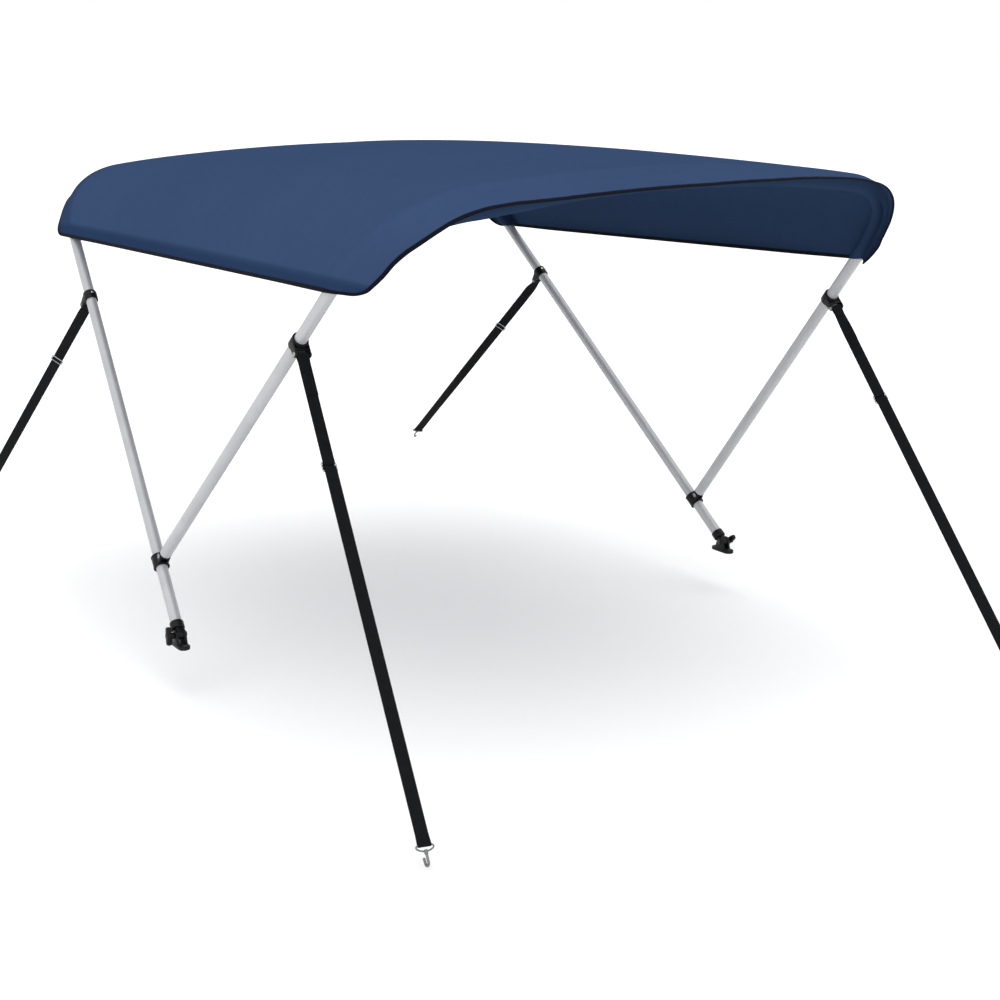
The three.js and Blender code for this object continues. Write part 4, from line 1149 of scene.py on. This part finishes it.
def build_jaws():
    for word, side in SIDES.items():
        joint, direction = second_leg(side)
        tube = leg_direction(side)
        lift = direction.dot(tube)
        out = (direction - tube * lift).normalized()
        cross = out.cross(tube)
        here = basis(joint, cross, out, tube)
        eye = (JAW_REACH * direction.dot(out), JAW_REACH * lift)
        bm = bmesh.new()
        collar(bm, TUBE_RADIUS + 0.2, 17.0, -15.0, 15.0, here, 1.2)
        collar(bm, TUBE_RADIUS + 0.2, 17.8, -15.0, -11.6, here, 0.8)
        collar(bm, TUBE_RADIUS + 0.2, 17.8, 11.6, 15.0, here, 0.8)
        outline = jaw_ear_outline(eye)
        for low, high in ((EAR_INNER, EAR_FACE), (-EAR_FACE, -EAR_INNER)):
            slab(bm, outline, low, high, here @ OUTLINE_TO_X, 1.0, 3)
        boss = here @ Matrix.Translation((0, -15.0, 0)) @ Matrix.Rotation(math.pi / 2, 4, "X")
        barrel(bm, 5.6, 0.0, 4.4, boss, 0.8, 24)
        piece("jaw_slide_" + word + "_moulding", bm, nylon, ["jaw_slide_" + word])
        pin = joint + direction * JAW_REACH
        at_pin = basis(pin, cross, out, tube)
        bm = bmesh.new()
        barrel(bm, 3.1, -EAR_FACE - 0.6, EAR_FACE + 0.6, at_pin @ X_UP, 0.2, 20)
        for end in (-1, 1):
            button = at_pin @ (X_UP if end > 0 else X_UP @ Matrix.Rotation(math.pi, 4, "X"))
            head = EAR_FACE + FIT
            profile = [(0, head), (5.2, head), (5.3, head + 0.5), (4.7, head + 1.5), (3.0, head + 2.3)]
            profile += [(1.9, head + 2.45), (1.7, head + 1.3), (0, head + 1.25)]
            turned(bm, profile, button, 24)
        piece("jaw_bolt_" + word + "_steel", bm, steel, ["jaw_bolt_" + word])
        end_frame = basis(pin, cross, direction.cross(cross), direction)
        bm = bmesh.new()
        barrel(bm, 7.6, -TONGUE_HALF, TONGUE_HALF, end_frame @ X_UP, 0.7, 32)
        block = [(-7.6, 0), (7.6, 0), (7.6, 10.5), (-7.6, 10.5)]
        slab(bm, block, -TONGUE_HALF, TONGUE_HALF, end_frame @ OUTLINE_TO_X, 0.5)
        barrel(bm, TUBE_RADIUS + 0.3, 9.2, BOW_END_FLOOR + 0.25, end_frame, 0.6, 40)
        piece("bow_end_" + word + "_moulding", bm, nylon, ["bow_end_" + word])


def jaw_ear_outline(eye):
    """Jaw ear that starts on the collar's wall and runs to a round eye"""
    full = eye_outline(eye, 8.6, 11.5, 14.0)
    return [(max(y, 12.9), z) for y, z in full]


# Straps

def arc(centre, radius, start, end, steps):
    points = []
    for i in range(steps + 1):
        turn = start + (end - start) * i / steps
        points.append(Vector((centre[0] + radius * math.cos(turn), centre[1] + radius * math.sin(turn))))
    return points


def run_of(start, end, level, spacing=9.0):
    steps = max(1, int(abs(end - start) / spacing))
    return [Vector((start + (end - start) * i / steps, level)) for i in range(steps + 1)]


def webbing_path(slider_at, eye_at):
    """The strap's own line: x down the strap, y towards its inner face"""
    pitch = WEB_THICK + WEB_GAP
    lean = WEB_THICK / 2 + WEB_GAP + 0.1
    back = -pitch
    bar = SLIDER_WIRE + lean
    over = bar + pitch
    slope = math.asin((bar + over) / SLIDER_HALF)
    up = math.pi / 2
    points = run_of(SEWN_BACK, 18, back)
    points += arc((0, back / 2), CLAMP_BOLT + lean, -up * 0.93, -2 * up - up * 0.93, 14)
    points += run_of(18, slider_at - SLIDER_HALF - 6, 0)
    points += arc((slider_at - SLIDER_HALF, bar), bar, -up, -up + slope, 4)
    points += arc((slider_at, bar), over, up + slope, up - slope, 8)
    points += arc((slider_at + SLIDER_HALF, bar), bar, -up - slope, -up, 4)
    points += run_of(slider_at + SLIDER_HALF + 8, eye_at - 18, 0)
    points += arc((eye_at, back / 2), HOOK_WIRE + lean, up * 0.93, -up * 0.93, 14)
    points += run_of(eye_at - 18, slider_at + SLIDER_HALF + 8, back)
    points.append(Vector((slider_at + SLIDER_HALF, back)))
    points += arc((slider_at, bar), bar, -up, -up - 2 * up, 9)
    return points


def twisted(place, at):
    """A strap's turn about its own line: it leaves the clamp square, turns at once and turns back towards the hook"""
    upper, lower = STRAP_TWIST[place]
    turn = upper * smooth_step(6.0, 70.0, at) + (lower - upper) * smooth_step(330.0, 900.0, at)
    middle = -(WEB_THICK + WEB_GAP) / 2
    there, back = Matrix.Translation((0, middle, 0)), Matrix.Translation((0, -middle, 0))
    return there @ Matrix.Rotation(turn, 4, "X") @ back


def webbing_outline():
    """Section of the webbing: soft round edges and a slightly crowned face"""
    half, thick = WEB_WIDTH / 2, WEB_THICK / 2
    top = [(-half, 0.25), (-half + 0.5, thick * 0.9), (-half + 2.0, thick), (0, thick), (half - 2.0, thick)]
    top += [(half - 0.5, thick * 0.9), (half, 0.25)]
    return top + [(x, -y) for x, y in top[::-1]]


def build_strap(place):
    end_word, side_word = place.split("_")
    side = SIDES[side_word]
    height = CLAMP_HEIGHT[place]
    joint, leg_way = second_leg(side)
    rise = height - JAW_HEIGHT[side_word]
    front = end_word == "front"
    centre = joint + leg_way * (rise / leg_way.z) if front else leg_point(side, height)
    tube = leg_way if front else leg_direction(side)
    x, y, z = STRAP_END[end_word]
    hook = Vector((side * x, y, PIVOT_HEIGHT + z))
    first_pull = (hook - centre).normalized()
    out = (first_pull - tube * first_pull.dot(tube)).normalized()
    cross = out.cross(tube)
    clamp_frame = basis(centre, cross, out, tube)
    build_clamp(place, clamp_frame)
    bolt_at = centre + out * CLAMP_REACH
    pull = (hook - bolt_at).normalized()
    length = (hook - bolt_at).length
    inner = cross.cross(pull).normalized()
    across = pull.cross(inner).normalized()
    if inner.y * (1 if front else -1) < 0:
        inner, across = -inner, -across
    pitch = WEB_THICK + WEB_GAP
    strap_frame = basis(bolt_at + inner * (pitch / 2), pull, inner, across)
    slider_at = SLIDER_AT[end_word]
    build_webbing(place, strap_frame, webbing_path(slider_at, length))
    build_slider(place, strap_frame @ twisted(place, slider_at), slider_at)
    build_hook(place, strap_frame @ twisted(place, length) @ Matrix.Translation((length, -pitch / 2, 0)))
    build_bar_tacks(place, strap_frame)


def build_clamp(place, here):
    bm = bmesh.new()
    collar(bm, TUBE_RADIUS + 0.2, 16.4, -12.0, 12.0, here, 1.1)
    outline = [(max(y, 3.0), z) for y, z in eye_outline((CLAMP_REACH, 0), 6.5, 8.5, 3.0)]
    for low, high in ((13.2, 16.4), (-16.4, -13.2)):
        slab(bm, outline, low, high, here @ OUTLINE_TO_X, 0.8, 3)
    slab(bm, [(15.0, -6.0), (20.6, -6.0), (20.6, 6.0), (15.0, 6.0)], -13.6, 13.6, here @ OUTLINE_TO_X, 0.8)
    piece("strap_clamp_" + place + "_moulding", bm, nylon, ["strap_clamp_" + place])
    bm = bmesh.new()
    at_eye = here @ Matrix.Translation((0, CLAMP_REACH, 0))
    barrel(bm, CLAMP_BOLT, -17.0, 17.0, at_eye @ X_UP, 0.2, 20)
    head = 16.4 + FIT
    for end in (-1, 1):
        button = at_eye @ (X_UP if end > 0 else X_UP @ Matrix.Rotation(math.pi, 4, "X"))
        profile = [(0, head), (4.5, head), (4.6, head + 0.5), (4.1, head + 1.5), (2.7, head + 2.4)]
        profile += [(1.7, head + 2.55), (1.5, head + 1.4), (0, head + 1.35)]
        turned(bm, profile, button, 24)
    set_screw = here @ Matrix.Translation((0, -15.6, 3.0)) @ Matrix.Rotation(math.pi / 2, 4, "X")
    profile = [(0, 0), (3.0, 0), (3.1, 1.2), (2.6, 2.1), (1.5, 2.4), (1.3, 1.5), (0, 1.45)]
    piece("clamp_bolt_" + place + "_steel", bm, steel, ["clamp_bolt_" + place])
    bm = bmesh.new()
    turned(bm, profile, set_screw, 20)
    piece("clamp_set_screw_" + place, bm, bright_screw, [])


def build_webbing(place, here, path):
    places = []
    count = len(path)
    for i, p in enumerate(path):
        ahead = path[min(i + 1, count - 1)] - path[max(i - 1, 0)]
        ahead = Vector((ahead.x, ahead.y, 0)).normalized()
        side_way = Vector((0, 0, 1))
        flat = basis(Vector((p.x, p.y, 0)), side_way, ahead.cross(side_way), ahead)
        places.append(here @ twisted(place, p.x) @ flat)
    bm = bmesh.new()
    sweep(bm, webbing_outline(), places)
    piece("webbing_" + place, bm, webbing, ["strap_" + place])


def build_bar_tacks(place, here):
    """Two dense rows of stitching across the sewn-back end"""
    bm = bmesh.new()
    back = -(WEB_THICK + WEB_GAP)
    for at in (24.0, SEWN_BACK - 5.0):
        for face, sign in ((WEB_THICK / 2, 1), (back - WEB_THICK / 2, -1)):
            for k in range(22):
                z = -11.0 + k
                level = face + sign * 0.1
                lay = Matrix.Translation((at, level, z)) @ Matrix.Rotation(0.35 * (-1) ** k, 4, "Y")
                stitch = here @ twisted(place, at) @ lay
                slab(bm, [(-1.6, -0.35), (1.6, -0.35), (1.6, 0.35), (-1.6, 0.35)], -0.25, 0.25,
                     stitch @ Matrix.Rotation(math.pi / 2, 4, "X"), 0.15, 1)
    piece("bar_tacks_" + place, bm, thread, [])


def wire_outline(radius):
    return circle_outline(radius, 12)


def wire(bm, points, radius, closed, here):
    """Bent round wire along a line of points"""
    count = len(points)
    places = []
    for i, p in enumerate(points):
        before = points[(i - 1) % count] if closed else points[max(i - 1, 0)]
        after = points[(i + 1) % count] if closed else points[min(i + 1, count - 1)]
        run = (after - before).normalized()
        face = Vector((0, 1, 0)) if closed else Vector((0, 0, 1))
        if abs(face.dot(run)) > 0.9:
            face = Vector((0, 0, 1)) if closed else Vector((0, 1, 0))
        x = (face - run * face.dot(run)).normalized()
        places.append(here @ basis(p, x, run.cross(x), run))
    if closed:
        places.append(places[0])
    sweep(bm, wire_outline(radius), places, closed)


def rounded_loop(half_length, half_width, radius, level, steps=6):
    """Points of a rectangle in the strap's plane with round corners"""
    points = []
    for cx, cz, start in ((1, 1, 0), (-1, 1, 1), (-1, -1, 2), (1, -1, 3)):
        for i in range(steps + 1):
            turn = math.pi / 2 * (start + i / steps)
            x = cx * (half_length - radius) + radius * math.cos(turn)
            z = cz * (half_width - radius) + radius * math.sin(turn)
            points.append(Vector((x, level, z)))
    return points


def build_slider(place, here, slider_at):
    level = SLIDER_WIRE + WEB_THICK / 2 + WEB_GAP + 0.1
    at = here @ Matrix.Translation((slider_at, 0, 0))
    bm = bmesh.new()
    half_width = WEB_WIDTH / 2 + 2.2
    wire(bm, rounded_loop(SLIDER_HALF, half_width, 2.6, level), SLIDER_WIRE, True, at)
    bar = [Vector((0, level, -half_width + 0.2)), Vector((0, level, 0)), Vector((0, level, half_width - 0.2))]
    straight_bar(bm, bar, at)
    piece("slider_" + place, bm, wire_steel, ["strap_slider_" + place])


def straight_bar(bm, points, here):
    run = Vector((0, 0, 1))
    x = Vector((0, 1, 0))
    places = [here @ basis(p, x, run.cross(x), run) for p in points]
    sweep(bm, wire_outline(SLIDER_WIRE), places)


def build_hook(place, here):
    """Wire eye across the webbing's end and a round hook square to it"""
    bm = bmesh.new()
    half = WEB_WIDTH / 2 + 2
    corners = [(0, -half), (0, half), (2, half + 2.4), (5, half + 2.4), (8.5, half - 3), (10.5, 3)]
    corners += [(10.5, -3), (8.5, -half + 3), (5, -half - 2.4), (2, -half - 2.4)]
    loop = [Vector((x, 0, z)) for x, z in corners]
    wire(bm, soften(loop, True), HOOK_WIRE, True, here)
    bend, turn_at = 5.5, 28.0
    prong = [Vector((9.5, 0, 0)), Vector((turn_at * 0.6, 0, 0)), Vector((turn_at, 0, 0))]
    for i in range(1, 11):
        turn = math.pi * i / 10
        prong.append(Vector((turn_at + bend * math.sin(turn), bend - bend * math.cos(turn), 0)))
    prong.append(Vector((turn_at - 5, 2 * bend + 0.2, 0)))
    prong.append(Vector((turn_at - 9, 2 * bend + 1.2, 0)))
    wire(bm, prong, 2.4, False, here)
    at_root = here @ Matrix.Translation((10.5, 0, 0)) @ Matrix.Rotation(math.pi / 2, 4, "Y")
    barrel(bm, 3.4, -3.0, 5.0, at_root, 1.0, 20)
    piece("hook_" + place, bm, hook_steel, ["strap_hook_" + place])


def soften(points, closed, rounds=2):
    """Cuts the corners of a line of points"""
    for _ in range(rounds):
        made = []
        count = len(points)
        for i in range(count if closed else count - 1):
            a, b = points[i], points[(i + 1) % count]
            made += [a.lerp(b, 0.25), a.lerp(b, 0.75)]
        points = made
    return points


# Studio

def build_camera():
    """The photograph's view"""
    data = bpy.data.cameras.new("view")
    data.sensor_width = 36.0
    data.lens = 61.65
    data.clip_start, data.clip_end = 0.05, 200.0
    made = bpy.data.objects.new("view", data)
    made.location = (-1.9823, -3.3013, 1.1473)
    made.rotation_euler = (math.radians(90 - 13.447), 0, math.radians(-31.793))
    bpy.context.scene.collection.objects.link(made)
    bpy.context.scene.camera = made


def area_light(name, place, size, power, colour=(1, 1, 1)):
    data = bpy.data.lights.new(name, "AREA")
    data.shape = "RECTANGLE"
    data.size, data.size_y = size
    data.energy = power
    data.color = colour
    made = bpy.data.objects.new(name, data)
    made.location = place
    made.rotation_euler = (Vector((0, 0.2, 0.6)) - Vector(place)).to_track_quat("-Z", "Y").to_euler()
    bpy.context.scene.collection.objects.link(made)


def build_studio():
    world = bpy.data.worlds.new("studio")
    bpy.context.scene.world = world
    world.use_nodes = True
    background = world.node_tree.nodes["Background"]
    background.inputs["Color"].default_value = (1, 1, 1, 1)
    background.inputs["Strength"].default_value = 1.0
    sky = bpy.data.lights.new("broad soft light", "SUN")
    sky.energy = 1.45
    sky.angle = math.radians(120)
    lamp = bpy.data.objects.new("broad soft light", sky)
    lamp.rotation_euler = (math.radians(38), math.radians(-16), 0)
    bpy.context.scene.collection.objects.link(lamp)
    area_light("left light", (-4.5, -2.6, 2.6), (2.4, 2.4), 14)
    bm = bmesh.new()
    bmesh.ops.create_grid(bm, x_segments=1, y_segments=1, size=60.0)
    mesh = bpy.data.meshes.new("floor")
    bm.to_mesh(mesh)
    bm.free()
    floor = bpy.data.objects.new("floor", mesh)
    floor.location.z = cad_box[0].z - 0.002
    bpy.context.scene.collection.objects.link(floor)
    pale, _, _ = finish("pale_floor", (0.97, 0.97, 0.97), 0.95, specular=0.0)
    mesh.materials.append(pale)
    bpy.context.scene.view_settings.view_transform = "Standard"


# Making it all

build_camera()
canopy = build_canopy()
tape, rim_length = build_binding()
build_tape_stitches()
build_pocket_stitches()
rear_sleeve = build_sleeve("rear_bow_sleeve", MAIN, SECOND, "rear_sleeve")
front_sleeve = build_sleeve("front_bow_sleeve", SECOND, MAIN, "front_sleeve")
build_tubes()
build_hinges()
build_jaws()
for strap_place in CLAMP_HEIGHT:
    build_strap(strap_place)
build_studio()
